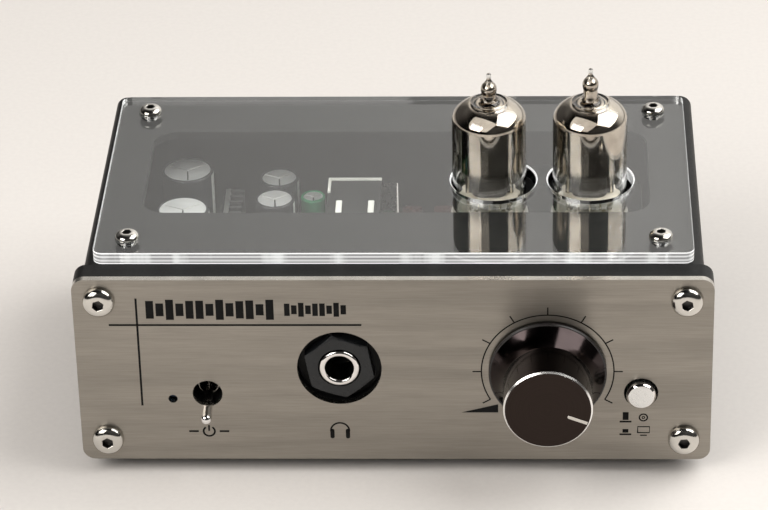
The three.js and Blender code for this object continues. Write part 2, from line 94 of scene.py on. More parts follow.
def combine(made, others, operation="DIFFERENCE"):
    """Cuts other objects from this one, or joins them to it, and removes them."""
    for other in others:
        modifier = made.modifiers.new("combine", "BOOLEAN")
        modifier.operation = operation
        modifier.solver = "EXACT"
        modifier.object = other
    bake(made)
    for other in others:
        bpy.data.objects.remove(other)
    return made


def round_edges(made, width, segments=2, angle=40):
    modifier = made.modifiers.new("round", "BEVEL")
    modifier.width = width
    modifier.segments = segments
    modifier.limit_method = "ANGLE"
    modifier.angle_limit = math.radians(angle)
    return bake(made)


def smooth(made, angle=32):
    made.data.shade_smooth()
    made.data.set_sharp_from_angle(angle=math.radians(angle))
    return made


def weigh_normals(made):
    """Turns the shading of narrow rounded edges towards the wide faces beside them."""
    modifier = made.modifiers.new("weigh", "WEIGHTED_NORMAL")
    modifier.keep_sharp = True
    modifier.weight = 100
    return bake(made)


def arc(centre, radius, start, end, steps=8):
    """Points on a circle, angles in degrees. radius may be a pair, for an ellipse."""
    wide, high = radius if isinstance(radius, tuple) else (radius, radius)
    turns = [math.radians(start + (end - start) * i / steps) for i in range(steps + 1)]
    return [(centre[0] + wide * math.cos(t), centre[1] + high * math.sin(t)) for t in turns]


def along(axis, across, up, distance):
    """A point at across, up in the plane square to an axis, and distance along it."""
    return {"x": (distance, across, up), "y": (across, distance, up), "z": (across, up, distance)}[axis]


def turned(name, profile, place, axis="z", sides=72, angle=32):
    """A surface of revolution. profile holds (radius, height) points, and heights run along the axis."""
    points, rings = [], []
    for radius, height in profile:
        if radius < 1e-7:
            rings.append([len(points)])
            points.append(Vector(along(axis, 0, 0, height)) + place)
            continue
        ring = []
        for i in range(sides):
            turn = 2 * math.pi * i / sides
            ring.append(len(points))
            spot = along(axis, radius * math.cos(turn), radius * math.sin(turn), height)
            points.append(Vector(spot) + place)
        rings.append(ring)
    pairs = list(zip(rings, rings[1:]))
    if len(rings[0]) > 1 and len(rings[-1]) > 1:
        pairs.append((rings[-1], rings[0]))
    faces = []
    for low, high in pairs:
        for i in range(sides):
            k = (i + 1) % sides
            if len(low) == 1 and len(high) == 1:
                break
            if len(low) == 1:
                faces.append((low[0], high[i], high[k]))
            elif len(high) == 1:
                faces.append((low[i], low[k], high[0]))
            else:
                faces.append((low[i], low[k], high[k], high[i]))
    return smooth(new_object(name, points, faces), angle)


def prism(name, outline, start, end, axis):
    """An outline of (across, up) points carried along an axis from start to end."""
    count = len(outline)
    points = [along(axis, a, b, d) for d in (start, end) for a, b in outline]
    faces = [tuple(range(count)), tuple(range(count, 2 * count))]
    faces += [(i, (i + 1) % count, (i + 1) % count + count, i + count) for i in range(count)]
    return new_object(name, points, faces)


def rounded(low, high, radius, steps=8):
    """A rectangle's outline with round corners, from its low to its high corner."""
    x0, y0, x1, y1 = low[0] + radius, low[1] + radius, high[0] - radius, high[1] - radius
    corners = ((x1, y1, 0), (x0, y1, 90), (x0, y0, 180), (x1, y0, 270))
    return [p for x, y, turn in corners for p in arc((x, y), radius, turn, turn + 90, steps)]


def circle(across, up, radius, sides=72):
    return arc((across, up), radius, 0, 360, sides)[:-1]


def cylinder(name, across, up, radius, start, end, axis, sides=72):
    return prism(name, circle(across, up, radius, sides), start, end, axis)


def slab(name, low, high, radius=0.0, edge=0.0, segments=2):
    """A box from corner to corner, its upright edges rounded by radius and all edges softened by edge."""
    if radius:
        made = prism(name, rounded(low[:2], high[:2], radius), low[2], high[2], "z")
    else:
        outline = [(low[0], low[1]), (high[0], low[1]), (high[0], high[1]), (low[0], high[1])]
        made = prism(name, outline, low[2], high[2], "z")
    if edge:
        round_edges(made, edge, segments)
    return smooth(made)


def merge(name, parts):
    """Several objects as one, each keeping its own materials."""
    work = bmesh.new()
    materials = []
    for part in parts:
        first = len(work.faces)
        work.from_mesh(part.data)
        work.faces.ensure_lookup_table()
        slots = list(part.data.materials)
        for face in work.faces[first:]:
            material = slots[face.material_index] if slots else None
            if material not in materials:
                materials.append(material)
            face.material_index = materials.index(material)
    mesh = bpy.data.meshes.new(name)
    work.to_mesh(mesh)
    work.free()
    for material in materials:
        if material:
            mesh.materials.append(material)
    for part in parts:
        bpy.data.objects.remove(part)
    made = bpy.data.objects.new(name, mesh)
    bpy.context.scene.collection.objects.link(made)
    return made


def paint(made, *materials):
    made.data.materials.clear()
    for material in materials:
        made.data.materials.append(material)
    return made


def settle(made, slot, *nodes, body="chassis"):
    """Puts a finished piece on its CAD body, in place of the CAD nodes it stands for."""
    if made.data.users == 1:
        weigh_normals(made)
    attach(made, body)
    if nodes:
        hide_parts(*nodes)
    return made


# ---------------------------------------------------------------- materials


def shader_of(material):
    return material.node_tree.nodes["Principled BSDF"]


def principled(name, color, roughness, metallic=0.0, **sockets):
    """A material with these values on its shader. A socket's spaces are written as underscores."""
    material = bpy.data.materials.new(name)
    material.use_nodes = True
    shader = shader_of(material)
    shader.inputs["Base Color"].default_value = (*color, 1)
    shader.inputs["Roughness"].default_value = roughness
    shader.inputs["Metallic"].default_value = metallic
    for socket, value in sockets.items():
        shader.inputs[socket.replace("_", " ")].default_value = value
    return material


def add_node(material, kind, **settings):
    node = material.node_tree.nodes.new("ShaderNode" + kind)
    for key, value in settings.items():
        setattr(node, key, value)
    return node


def link(material, source, target):
    material.node_tree.links.new(source, target)


def feed(material, source, socket):
    """Drives one socket of a material's shader."""
    link(material, source, shader_of(material).inputs[socket])


def height_in(material):
    """How high a point is in the object's own coordinates."""
    place = add_node(material, "TexCoord")
    split = add_node(material, "SeparateXYZ")
    link(material, place.outputs["Object"], split.inputs["Vector"])
    return split.outputs["Z"]


def reckon(material, operation, first, second, **settings):
    """A sum or product of two sockets."""
    node = add_node(material, "Math", operation=operation, **settings)
    link(material, first, node.inputs[0])
    link(material, second, node.inputs[1])
    return node.outputs["Value"]


def grain(material, scale, stretch=(1, 1, 1), detail=4.0, rough=0.5):
    """Noise in the object's own coordinates: scale is in cycles per metre."""
    place = add_node(material, "TexCoord")
    mapping = add_node(material, "Mapping")
    mapping.inputs["Scale"].default_value = [scale * s for s in stretch]
    noise = add_node(material, "TexNoise")
    noise.inputs["Scale"].default_value = 1.0
    noise.inputs["Detail"].default_value = detail
    noise.inputs["Roughness"].default_value = rough
    link(material, place.outputs["Object"], mapping.inputs["Vector"])
    link(material, mapping.outputs["Vector"], noise.inputs["Vector"])
    return noise.outputs["Fac"]


def remap(material, source, low, high, start=0.3, end=0.7, **settings):
    """Carries start to end onto low to high."""
    node = add_node(material, "MapRange", **settings)
    node.inputs["From Min"].default_value = start
    node.inputs["From Max"].default_value = end
    node.inputs["To Min"].default_value = low
    node.inputs["To Max"].default_value = high
    link(material, source, node.inputs["Value"])
    return node.outputs["Result"]


def two_tone(material, source, first, second, start=0.35, end=0.65):
    ramp = add_node(material, "ValToRGB")
    ramp.color_ramp.elements[0].position = start
    ramp.color_ramp.elements[0].color = (*first, 1)
    ramp.color_ramp.elements[1].position = end
    ramp.color_ramp.elements[1].color = (*second, 1)
    link(material, source, ramp.inputs["Fac"])
    return ramp.outputs["Color"]


def greys(material, source, tones):
    """A ramp through (position, grey) pairs."""
    node = add_node(material, "ValToRGB")
    stops = node.color_ramp.elements
    stops[0].position = tones[0][0]
    stops[1].position = tones[-1][0]
    for position, _ in tones[1:-1]:
        stops.new(position)
    for stop, (_, tone) in zip(stops, tones):
        stop.color = (tone, tone, tone, 1)
    link(material, source, node.inputs["Fac"])
    return node.outputs["Color"]


def bump(material, source, strength, depth):
    node = add_node(material, "Bump")
    node.inputs["Strength"].default_value = strength
    node.inputs["Distance"].default_value = depth
    link(material, source, node.inputs["Height"])
    feed(material, node.outputs["Normal"], "Normal")


def shade(
    name, color, roughness, metallic=0.0, spread=0.12, wear=0.06, scale=900, relief=0.12, **sockets
):
    """A surface whose colour and roughness vary gently, with a fine bump."""
    material = principled(name, color, roughness, metallic, **sockets)
    coarse = grain(material, scale / 6, detail=3)
    fine = grain(material, scale, detail=5)
    dark = [c * (1 - spread) for c in color]
    light = [min(1, c * (1 + spread)) for c in color]
    feed(material, two_tone(material, coarse, dark, light), "Base Color")
    rough = remap(material, fine, max(0.01, roughness - wear), roughness + wear)
    feed(material, rough, "Roughness")
    bump(material, fine, relief, 0.00005)
    return material


def brushed(name, color, roughness, lines, reach):
    """Metal with fine parallel scratches: lines and reach are cycles per metre across and along them."""
    material = principled(
        name, color, roughness, 1.0, Anisotropic=0.9, Anisotropic_Rotation=0.25
    )
    stretch = (reach, lines, lines)
    scratches = grain(material, 1.0, stretch, detail=6, rough=0.65)
    clouds = grain(material, 1.0, (reach / 4, lines / 8, lines / 8), detail=2)
    dark = [c * 0.9 for c in color]
    light = [c * 1.08 for c in color]
    tone = two_tone(material, scratches, dark, light, 0.3, 0.7)
    feed(material, tone, "Base Color")
    rough = remap(material, clouds, roughness - 0.04, roughness + 0.05)
    feed(material, rough, "Roughness")
    bump(material, scratches, 0.1, 0.00003)
    tangent = add_node(material, "Tangent", direction_type="RADIAL", axis="Z")
    feed(material, tangent.outputs["Tangent"], "Tangent")
    return material


def lamp_clear(material, tint):
    """Lets light from lamps straight through a glass material."""
    path = add_node(material, "LightPath")
    clear = add_node(material, "BsdfTransparent")
    clear.inputs["Color"].default_value = (*tint, 1)
    mixer = add_node(material, "MixShader")
    link(material, path.outputs["Is Shadow Ray"], mixer.inputs["Fac"])
    link(material, shader_of(material).outputs["BSDF"], mixer.inputs[1])
    link(material, clear.outputs["BSDF"], mixer.inputs[2])
    output = material.node_tree.nodes["Material Output"]
    link(material, mixer.outputs["Shader"], output.inputs["Surface"])
    return material


def clear_acrylic():
    material = principled(
        "clear_acrylic", (0.97, 0.985, 0.98), 0.0, IOR=1.49, Transmission_Weight=1.0
    )
    tint = two_tone(material, grain(material, 60, detail=3), (0.96, 0.98, 0.97), (0.98, 0.99, 0.985))
    feed(material, tint, "Base Color")
    return lamp_clear(material, (0.9, 0.92, 0.91))


def acrylic_edge_painted_light(low, high):
    """A cut and polished edge with painted light: bright and dark level lines and glints painted into its
    colour, glowing by emission too, in place of the light it gathers between its faces.
    """
    material = principled("acrylic_edge_painted_light", (0.8, 0.82, 0.81), 0.08, Transmission_Weight=0.25)
    level = remap(material, height_in(material), 0.0, 1.0, low, high)
    # Painted highlight and shadow bands, by height up the edge.
    tones = (
        (0.0, 0.9), (0.09, 0.9), (0.13, 0.16), (0.20, 0.34), (0.30, 0.62), (0.42, 0.40), (0.47, 0.14),
        (0.54, 0.36), (0.66, 0.70), (0.74, 0.30), (0.80, 0.20), (0.88, 0.36), (0.93, 0.95),
    )
    # Painted glints: pale patches scattered over the painted bands.
    painted_glints = grain(material, 1.0, (170, 170, 20), detail=3)
    mixer = add_node(material, "Mix", data_type="RGBA")
    link(material, remap(material, painted_glints, 0.0, 0.6, 0.52, 0.68), mixer.inputs["Factor"])
    first, second, mixed = mixer.inputs[6], mixer.inputs[7], mixer.outputs[2]  # its colour sockets
    link(material, greys(material, level, tones), first)
    second.default_value = (0.8, 0.82, 0.81, 1)
    feed(material, mixed, "Base Color")
    # The painted bands also glow by emission, though the edge is no lamp.
    feed(material, mixed, "Emission Color")
    shader_of(material).inputs["Emission Strength"].default_value = 0.75
    return material


def tube_glass():
    material = principled(
        "tube_glass", (0.97, 0.97, 0.95), 0.0, IOR=1.5, Transmission_Weight=1.0
    )
    waves = grain(material, 140, detail=1)
    bump(material, waves, 0.05, 0.0002)
    return lamp_clear(material, (0.95, 0.95, 0.94))


def getter_mirror(fade_low, fade_high):
    """The silvering inside a tube: a mirror with a brown-grey cast that thins out towards its lower edge."""
    material = principled("getter_mirror", (0.5, 0.46, 0.41), 0.04, 1.0)
    clouds = grain(material, 160, detail=4)
    tone = two_tone(material, clouds, (0.40, 0.35, 0.30), (0.58, 0.53, 0.46))
    feed(material, tone, "Base Color")
    fade = remap(material, height_in(material), 0.0, 1.0, fade_low, fade_high)
    ragged = remap(material, grain(material, 420, detail=5), -0.2, 0.2)
    total = reckon(material, "ADD", fade, ragged, use_clamp=True)
    solid = remap(material, total, 0.1, 0.98, 0.2, 0.75)
    feed(material, solid, "Alpha")
    return material


def circuit_board_green():
    material = principled("circuit_board", (0.012, 0.075, 0.03), 0.35, 0.0, Coat_Weight=0.4)
    place = add_node(material, "TexCoord")
    mapping = add_node(material, "Mapping")
    mapping.inputs["Scale"].default_value = (420, 420, 420)
    tracks = add_node(material, "TexBrick", offset=0.4, squash=1.6)
    tracks.inputs["Color1"].default_value = (0.010, 0.060, 0.022, 1)
    tracks.inputs["Color2"].default_value = (0.014, 0.085, 0.032, 1)
    tracks.inputs["Mortar"].default_value = (0.03, 0.14, 0.06, 1)
    tracks.inputs["Mortar Size"].default_value = 0.06
    tracks.inputs["Scale"].default_value = 1.0
    link(material, place.outputs["Object"], mapping.inputs["Vector"])
    link(material, mapping.outputs["Vector"], tracks.inputs["Vector"])
    feed(material, tracks.outputs["Color"], "Base Color")
    bump(material, tracks.outputs["Fac"], 0.2, 0.00004)
    return material


def turned_metal(name, color, roughness, centre, rings):
    """Metal with the fine rings that a lathe leaves, about an axis along Y through centre."""
    material = principled(name, color, roughness, 1.0, Anisotropic=0.6)
    place = add_node(material, "TexCoord")
    mapping = add_node(material, "Mapping")
    mapping.inputs["Location"].default_value = (-centre.x, 0, -centre.z)
    mapping.inputs["Scale"].default_value = (1, 0, 1)
    size = add_node(material, "VectorMath", operation="LENGTH")
    noise = add_node(material, "TexNoise", noise_dimensions="1D")
    noise.inputs["Scale"].default_value = rings
    noise.inputs["Detail"].default_value = 4
    link(material, place.outputs["Object"], mapping.inputs["Vector"])
    link(material, mapping.outputs["Vector"], size.inputs[0])
    link(material, size.outputs["Value"], noise.inputs["W"])
    dark = [c * 0.92 for c in color]
    light = [c * 1.08 for c in color]
    tone = two_tone(material, noise.outputs["Fac"], dark, light)
    feed(material, tone, "Base Color")
    bump(material, noise.outputs["Fac"], 0.06, 0.00003)
    return material


knob_axis = joint_place("volume_turn")

BRUSHED = brushed("brushed_panel", (0.358, 0.331, 0.292), 0.34, 2600, 90)
PLATE_EDGE = shade("plate_edge", (0.50, 0.48, 0.44), 0.25, 1.0, wear=0.04)
BLACK = shade(
    "black_anodised", (0.008, 0.008, 0.008), 0.45, scale=2200, relief=0.01, Specular_IOR_Level=0.14
)
ACRYLIC = clear_acrylic()
STAINLESS = shade("stainless_steel", (0.62, 0.60, 0.56), 0.14, 1.0, spread=0.06, wear=0.04, relief=0.02)
# Painted shade: the inside of the screw sockets is the same steel, darkened where the recess lies in shadow.
SOCKET_PAINTED_SHADE = shade("socket_painted_shade", (0.10, 0.095, 0.09), 0.45, 1.0)
CHROME = shade("bright_chrome", (0.80, 0.78, 0.76), 0.09, 1.0, spread=0.03, wear=0.03, relief=0.01)
KNOB_SIDE = shade(
    "knob_side", (0.042, 0.033, 0.033), 0.13, 1.0, spread=0.08, wear=0.03, scale=500, relief=0.02
)
KNOB_EDGE = shade("knob_edge", (0.012, 0.010, 0.010), 0.3, spread=0.1, relief=0.02)
KNOB_FACE = turned_metal("knob_face", (0.031, 0.023, 0.020), 0.38, knob_axis, 3800)
KNOB_RIM = turned_metal("knob_rim", (0.90, 0.89, 0.87), 0.27, knob_axis, 2500)
RUBBER = shade("foot_rubber", (0.02, 0.02, 0.02), 0.8, spread=0.25, scale=1600)
GLASS = tube_glass()
ELECTRODE = shade("electrode_metal", (0.09, 0.085, 0.08), 0.5, 0.7, scale=2500)
MICA = shade("mica", (0.62, 0.58, 0.50), 0.35, spread=0.2)
PIN_METAL = shade("pin_metal", (0.66, 0.62, 0.55), 0.2, 1.0)
CERAMIC = shade("socket_ceramic", (0.30, 0.28, 0.25), 0.35, spread=0.05, scale=1500)
BOARD = circuit_board_green()
PLASTIC = shade("black_plastic", (0.018, 0.018, 0.018), 0.4, scale=1800)
NUT_PLASTIC = shade(
    "nut_plastic", (0.009, 0.010, 0.011), 0.32, scale=1600, relief=0.05, Specular_IOR_Level=0.4
)
SLEEVE = shade("capacitor_sleeve", (0.012, 0.013, 0.016), 0.2, spread=0.2, scale=300, relief=0.02)
SLEEVE_STRIPE = shade("capacitor_stripe", (0.55, 0.56, 0.54), 0.3, spread=0.05)
CAN_TOP = shade("capacitor_top", (0.80, 0.80, 0.80), 0.5, 0.75, spread=0.05, relief=0.01)
GREEN = shade("green_sleeve", (0.02, 0.19, 0.08), 0.2, spread=0.15, scale=300)
FILM = shade("film_capacitor", (0.035, 0.012, 0.010), 0.25, spread=0.15, scale=400)
WHITE_PLASTIC = shade("white_plastic", (0.75, 0.74, 0.70), 0.4, spread=0.04)
RED_PLASTIC = shade("red_plastic", (0.45, 0.02, 0.015), 0.35, spread=0.08)
ALUMINIUM = shade("bare_aluminium", (0.58, 0.58, 0.57), 0.34, 1.0, spread=0.08)
NICKEL = shade("nickel_steel", (0.62, 0.60, 0.56), 0.24, 1.0, spread=0.06)
GOLD = shade("gold_contact", (0.83, 0.60, 0.27), 0.22, 1.0, spread=0.05)
BUTTON = shade("button_metal", (0.72, 0.72, 0.71), 0.26, 1.0, spread=0.03, wear=0.03, relief=0.02)
BODY_TAN = shade("resistor_tan", (0.55, 0.40, 0.24), 0.4)
BODY_BLUE = shade("resistor_blue", (0.10, 0.30, 0.42), 0.35)
INK = shade("panel_ink", (0.006, 0.006, 0.006), 0.6, spread=0.2, scale=2500, Specular_IOR_Level=0.1)
LAMP = lamp_clear(
    principled("lamp_lens", (0.16, 0.22, 0.34), 0.1, IOR=1.5, Transmission_Weight=0.8),
    (0.7, 0.75, 0.8),
)


# ---------------------------------------------------------------- case

panel_low, panel_high, _ = box_of("front_panel")
bezel_low, bezel_high, _ = box_of("front_bezel")
body_low, body_high, _ = box_of("body_shell")
rear_low, rear_high, _ = box_of("rear_panel")
cover_low, cover_high, _ = box_of("top_cover")
jack_low, jack_high, jack_axis = box_of("jack_bushing")
button_low, button_high, button_axis = box_of("source_button")
lamp_low, lamp_high, lamp_mid = box_of("power_lamp")
lever_axis = joint_place("power_toggle")

PANEL_CORNER = 3 * MM
LAMP_RADIUS = 1.5 * MM
LAMP_Z = lamp_high.z - LAMP_RADIUS
JACK_HOLE = 10 * MM
LEVER_HOLE = 3.55 * MM
BUTTON_HOLE = 4.05 * MM
SCREW_HOLE = 2.3 * MM
BUSHING_HOLE = 4 * MM
COLLAR_HOLE = 5.06 * MM
LINE_IN_DROP = 5.5 * MM  # from the top of its housing to its axis
INLET_DROP = 4.5 * MM


def outline_xz(low, high, radius, steps=10):
    return rounded((low.x, low.z), (high.x, high.z), radius, steps)


def holes_y(spots, start, end):
    """Cutters along Y: each spot is (x, z, radius)."""
    return [
        cylinder(f"cutter_{i}", x, z, radius, start, end, "y", 96)
        for i, (x, z, radius) in enumerate(spots)
    ]


def screw_spots(prefix):
    spots = [box_of(f"{prefix}_screw_{corner}")[2] for corner in FACE_CORNERS]
    return [(spot.x, spot.z, SCREW_HOLE) for spot in spots]


def front_holes(jack_radius, lamp_radius):
    return [
        *screw_spots("front"),
        (jack_axis.x, jack_axis.z, jack_radius),
        (lever_axis.x, lever_axis.z, LEVER_HOLE),
        (button_axis.x, button_axis.z, BUTTON_HOLE),
        (lamp_mid.x, LAMP_Z, lamp_radius),
        (knob_axis.x, knob_axis.z, BUSHING_HOLE),
    ]


def front_plate():
    made = prism(
        "front_plate", outline_xz(panel_low, panel_high, PANEL_CORNER), panel_low.y, panel_high.y, "y"
    )
    combine(made, holes_y(front_holes(JACK_HOLE, 1.1 * MM), panel_low.y - MM, panel_high.y + MM))
    round_edges(made, 0.15 * MM, 2)
    smooth(made)
    paint(made, BRUSHED, PLATE_EDGE)
    for polygon in made.data.polygons:
        polygon.material_index = 0 if abs(polygon.normal.y) > 0.95 else 1
    return settle(made, "brushed_panel", "front_panel")


def bezel():
    through = (bezel_low.y - MM, bezel_high.y + MM)
    made = prism(
        "bezel", outline_xz(bezel_low, bezel_high, PANEL_CORNER), bezel_low.y, bezel_high.y, "y"
    )
    web = bezel_low.y + 1.7 * MM
    recess = cylinder("recess", jack_axis.x, jack_axis.z, JACK_HOLE, through[0], web, "y", 96)
    combine(made, [*holes_y(front_holes(COLLAR_HOLE, 1.8 * MM), *through), recess])
    round_edges(made, 0.35 * MM, 3)
    return settle(paint(smooth(made), BLACK), "black_anodised", "front_bezel")


WALL = 2 * MM
SCREW_CHANNEL = 3.8 * MM
RAIL = (3 * MM, 1.5 * MM, 0.2 * MM)  # how far it reaches in, its thickness, its gap to the board


def sleeve():
    """The case: a rounded rectangular tube with screw channels, board rails and a window in its top."""
    made = prism("sleeve", outline_xz(body_low, body_high, PANEL_CORNER), body_low.y, body_high.y, "y")
    inner_low = body_low + Vector((WALL, 0, WALL))
    inner_high = body_high - Vector((WALL, 0, WALL))
    past = (body_low.y - MM, body_high.y + MM)
    hollow = prism("hollow", outline_xz(inner_low, inner_high, MM), *past, "y")
    fills = [
        cylinder("channel", x, z, SCREW_CHANNEL, *past, "y", 32)
        for x, z, _ in screw_spots("rear")
    ]
    board_low, board_high, _ = box_of("circuit_board")
    reach, thick, gap = RAIL
    for sign in (-1, 1):
        wall = sign * inner_high.x
        across = sorted((wall - sign * reach, wall + sign * MM))
        for bottom in (board_low.z - gap - thick, board_high.z + gap):
            fills.append(
                slab("rail", (across[0], past[0], bottom), (across[1], past[1], bottom + thick))
            )
    combine(hollow, fills)
    depth = (body_high.z - WALL - MM, body_high.z + MM)
    opening = rounded(WINDOW_LOW, WINDOW_HIGH, WINDOW_CORNER, 12)
    cutters = [hollow, prism("window", opening, *depth, "z")]
    cutters += holes_y(screw_spots("rear"), *past)
    combine(made, cutters)
    round_edges(made, 0.18 * MM, 2, 50)
    return settle(paint(smooth(made), BLACK), "black_anodised", "body_shell")


tube_mid = box_of("tube_left_envelope")[2]
WINDOW_LOW = (-61 * MM, tube_mid.y - 13.9 * MM)
WINDOW_HIGH = (61 * MM, tube_mid.y + 26.2 * MM)
WINDOW_CORNER = 6 * MM


def tube_holes():
    """The two holes in the cover are set closer together than the tubes are."""
    left, right = (box_of(f"tube_{side}_envelope")[2] for side in SIDES)
    return (left.x + 1.0 * MM, left.y), (right.x + 0.2 * MM, right.y)


AIR_GAP = 0.06 * MM
TUBE_HOLE = 10.25 * MM
TUBE_HOLE_FLARE = 0.4 * MM


def tube_hole_cutter(x, y):
    """Cuts a hole through the cover with a wide bevel round its upper edge."""
    bottom, top = cover_low.z - MM, cover_high.z + MM
    profile = [(0, bottom), (TUBE_HOLE, bottom), (TUBE_HOLE, cover_high.z - TUBE_HOLE_FLARE)]
    profile += [(TUBE_HOLE + TUBE_HOLE_FLARE + MM, top), (0, top)]
    return turned("hole", profile, Vector((x, y, 0)), "z", 128)


def cover():
    outline = rounded(cover_low[:2], cover_high[:2], 2.3 * MM, 8)
    made = prism("cover", outline, cover_low.z + AIR_GAP, cover_high.z, "z")
    through = (cover_low.z - MM, cover_high.z + MM)
    cutters = [tube_hole_cutter(x, y) for x, y in tube_holes()]
    for corner in PLAN_CORNERS:
        spot = box_of(f"cover_screw_{corner}")[2]
        cutters.append(cylinder("hole", spot.x, spot.y, 1.7 * MM, *through, "z", 48))
    combine(made, cutters)
    round_edges(made, 0.2 * MM, 2)
    paint(smooth(made), ACRYLIC, acrylic_edge_painted_light(cover_low.z, cover_high.z))
    middle = (cover_low + cover_high) / 2
    reach = (cover_high - cover_low) / 2
    # The outer edges, except those facing back, and the bevels round the holes take the edge material with
    # its painted highlight bands and painted glow; flat faces and hole walls stay clear acrylic.
    for polygon in made.data.polygons:
        spot = polygon.center - middle
        outside = reach.x - abs(spot.x) < 0.7 * MM or reach.y - abs(spot.y) < 0.7 * MM
        level = abs(polygon.normal.z)
        edge = outside and polygon.normal.y < 0.5 and level < 0.95
        bevel = 0.1 < level < 0.95
        polygon.material_index = 1 if edge or bevel else 0
    return settle(made, "clear_acrylic", "top_cover")


def rear_plate():
    made = prism(
        "rear_plate", outline_xz(rear_low, rear_high, PANEL_CORNER), rear_low.y, rear_high.y, "y"
    )
    through = (rear_low.y - MM, rear_high.y + MM)
    spots = screw_spots("rear")
    for side in SIDES:
        _, high, middle = box_of(f"line_in_{side}")
        spots.append((middle.x, high.z - LINE_IN_DROP, 4.45 * MM))
    _, high, middle = box_of("power_inlet")
    spots.append((middle.x, high.z - INLET_DROP, 4.8 * MM))
    usb_low, usb_high, _ = box_of("usb_socket")
    clear = Vector((0.3 * MM, 0, 0.3 * MM))
    mouth = prism("mouth", outline_xz(usb_low - clear, usb_high + clear, 0.4 * MM, 4), *through, "y")
    combine(made, [*holes_y(spots, *through), mouth])
    round_edges(made, 0.2 * MM, 2)
    return settle(paint(smooth(made), BLACK), "black_anodised", "rear_panel")


front_plate()
bezel()
sleeve()
cover()
rear_plate()


# ---------------------------------------------------------------- screws and feet


def button_screw(name, head, height, flats, shank, length):
    """A round-headed socket screw whose head stands up from z = 0."""
    rim = 0.22 * height
    dome = arc((0.42 * head, rim), (0.58 * head, height - rim), 0, 90, 12)
    profile = [(0, -length), (shank - 0.3 * MM, -length), (shank, -length + 0.3 * MM)]
    profile += [(shank, 0), (head - 0.15 * MM, 0), (head, 0.15 * MM), *dome, (0, height)]
    made = turned(name, profile, Vector(), "z", 64)
    corner = flats / math.sqrt(3)
    socket = prism("socket", circle(0, 0, corner, 6), 0.3 * height, height + MM, "z")
    combine(made, [socket])
    round_edges(made, 0.07 * MM, 1, 50)
    weigh_normals(smooth(made))
    paint(made, STAINLESS, SOCKET_PAINTED_SHADE)
    # The hex socket's walls and floor get the painted shade.
    for polygon in made.data.polygons:
        x, y, z = polygon.center
        inside = math.hypot(x, y) < 0.98 * corner and z > 0.1 * height
        polygon.material_index = 1 if inside and z < 0.93 * height else 0
    return made


def place_screws():
    """One mesh for each size, seated on the panels and the cover with its socket turned differently."""
    case = button_screw("case_screw", 3.8 * MM, 2.2 * MM, 2.5 * MM, 1.9 * MM, 12 * MM)
    clear = button_screw("cover_screw", 2.85 * MM, 1.65 * MM, 2 * MM, 1.4 * MM, 7 * MM)
    turn = random.Random(7)
    rows = []
    for corner in FACE_CORNERS:
        rows.append((f"front_screw_{corner}", case, panel_low.y, Vector((0, -1, 0))))
        rows.append((f"rear_screw_{corner}", case, rear_high.y, Vector((0, 1, 0))))
    for corner in PLAN_CORNERS:
        rows.append((f"cover_screw_{corner}", clear, cover_high.z, Vector((0, 0, 1))))
    for node, source, seat, out in rows:
        made = bpy.data.objects.new("piece_" + node, source.data)
        bpy.context.scene.collection.objects.link(made)
        spot = box_of(node)[2]
        spot[2 if out.z else 1] = seat
        spin = Matrix.Rotation(math.radians(turn.uniform(0, 60)), 4, "Z")
        made.matrix_world = (
            Matrix.Translation(spot) @ out.to_track_quat("Z", "Y").to_matrix().to_4x4() @ spin
        )
        settle(made, "stainless_steel", node)
    bpy.data.objects.remove(case)
    bpy.data.objects.remove(clear)


def place_feet():
    """Rubber discs with a shallow groove in the underside."""
    for corner in PLAN_CORNERS:
        node = f"foot_{corner}"
        low, high, middle = box_of(node)
        height = high.z - low.z
        radius = (high.x - low.x) / 2
        profile = [(0, 0), (radius - 2.4 * MM, 0), (radius - 2.2 * MM, 0.2 * MM)]
        profile += [(radius - 1.8 * MM, 0.2 * MM), (radius - 1.6 * MM, 0)]
        profile += arc((radius - 0.9 * MM, 0.7 * MM), 0.7 * MM, -90, 0, 5)
        profile += [(radius, height - 0.2 * MM), (radius - 0.1 * MM, height), (0, height)]
        made = turned("piece_" + node, profile, Vector((middle.x, middle.y, low.z)), "z", 64)
        settle(paint(made, RUBBER), "foot_rubber", node)


place_screws()
place_feet()


# ---------------------------------------------------------------- tubes

TUBE_RADIUS = 8.95 * MM
TUBE_WALL = 0.9 * MM
SHOULDER = 25.3 * MM  # from the foot of the glass up to where its dome starts
SILVERED_FROM = 12.5 * MM
PIN_LENGTH = 6.8 * MM
PIN_CIRCLE = 4.76 * MM


def crown(radius, shoulder, tip):
    """The glass from its shoulder over the dome and its raised ring to the sealed tip."""
    neck = shoulder + 5.0 * MM
    bulb = tip - 4.3 * MM
    points = arc((0, shoulder), (radius, 5.55 * MM), 0, 58, 14)
    points += arc((4.35 * MM, neck - 0.2 * MM), 0.24 * MM, 60, 140, 5)
    points += [(3.5 * MM, neck - 0.05 * MM), (2.7 * MM, neck + 0.15 * MM), (2.1 * MM, neck + 0.6 * MM)]
    points += [(1.75 * MM, neck + 1.3 * MM), (1.7 * MM, bulb - 1.3 * MM), (1.86 * MM, bulb - 0.6 * MM)]
    points += arc((0, bulb), (1.95 * MM, 2.1 * MM), 0, 52, 6)
    points += [(0.8 * MM, tip - 2.1 * MM), (0.5 * MM, tip - 1.6 * MM), (0.42 * MM, tip - 1.15 * MM)]
    points += arc((0, tip - 0.6 * MM), 0.6 * MM, -45, 90, 7)
    return points[:-1] + [(0, tip)]


def inner_crown(radius, shoulder, inset):
    """The inside of the dome, from the side wall to the axis."""
    return arc((0, shoulder - 0.2 * MM), (radius - inset, 5.5 * MM - inset), 0, 90, 14)[:-1] + [
        (0, shoulder + 5.3 * MM - inset)
    ]


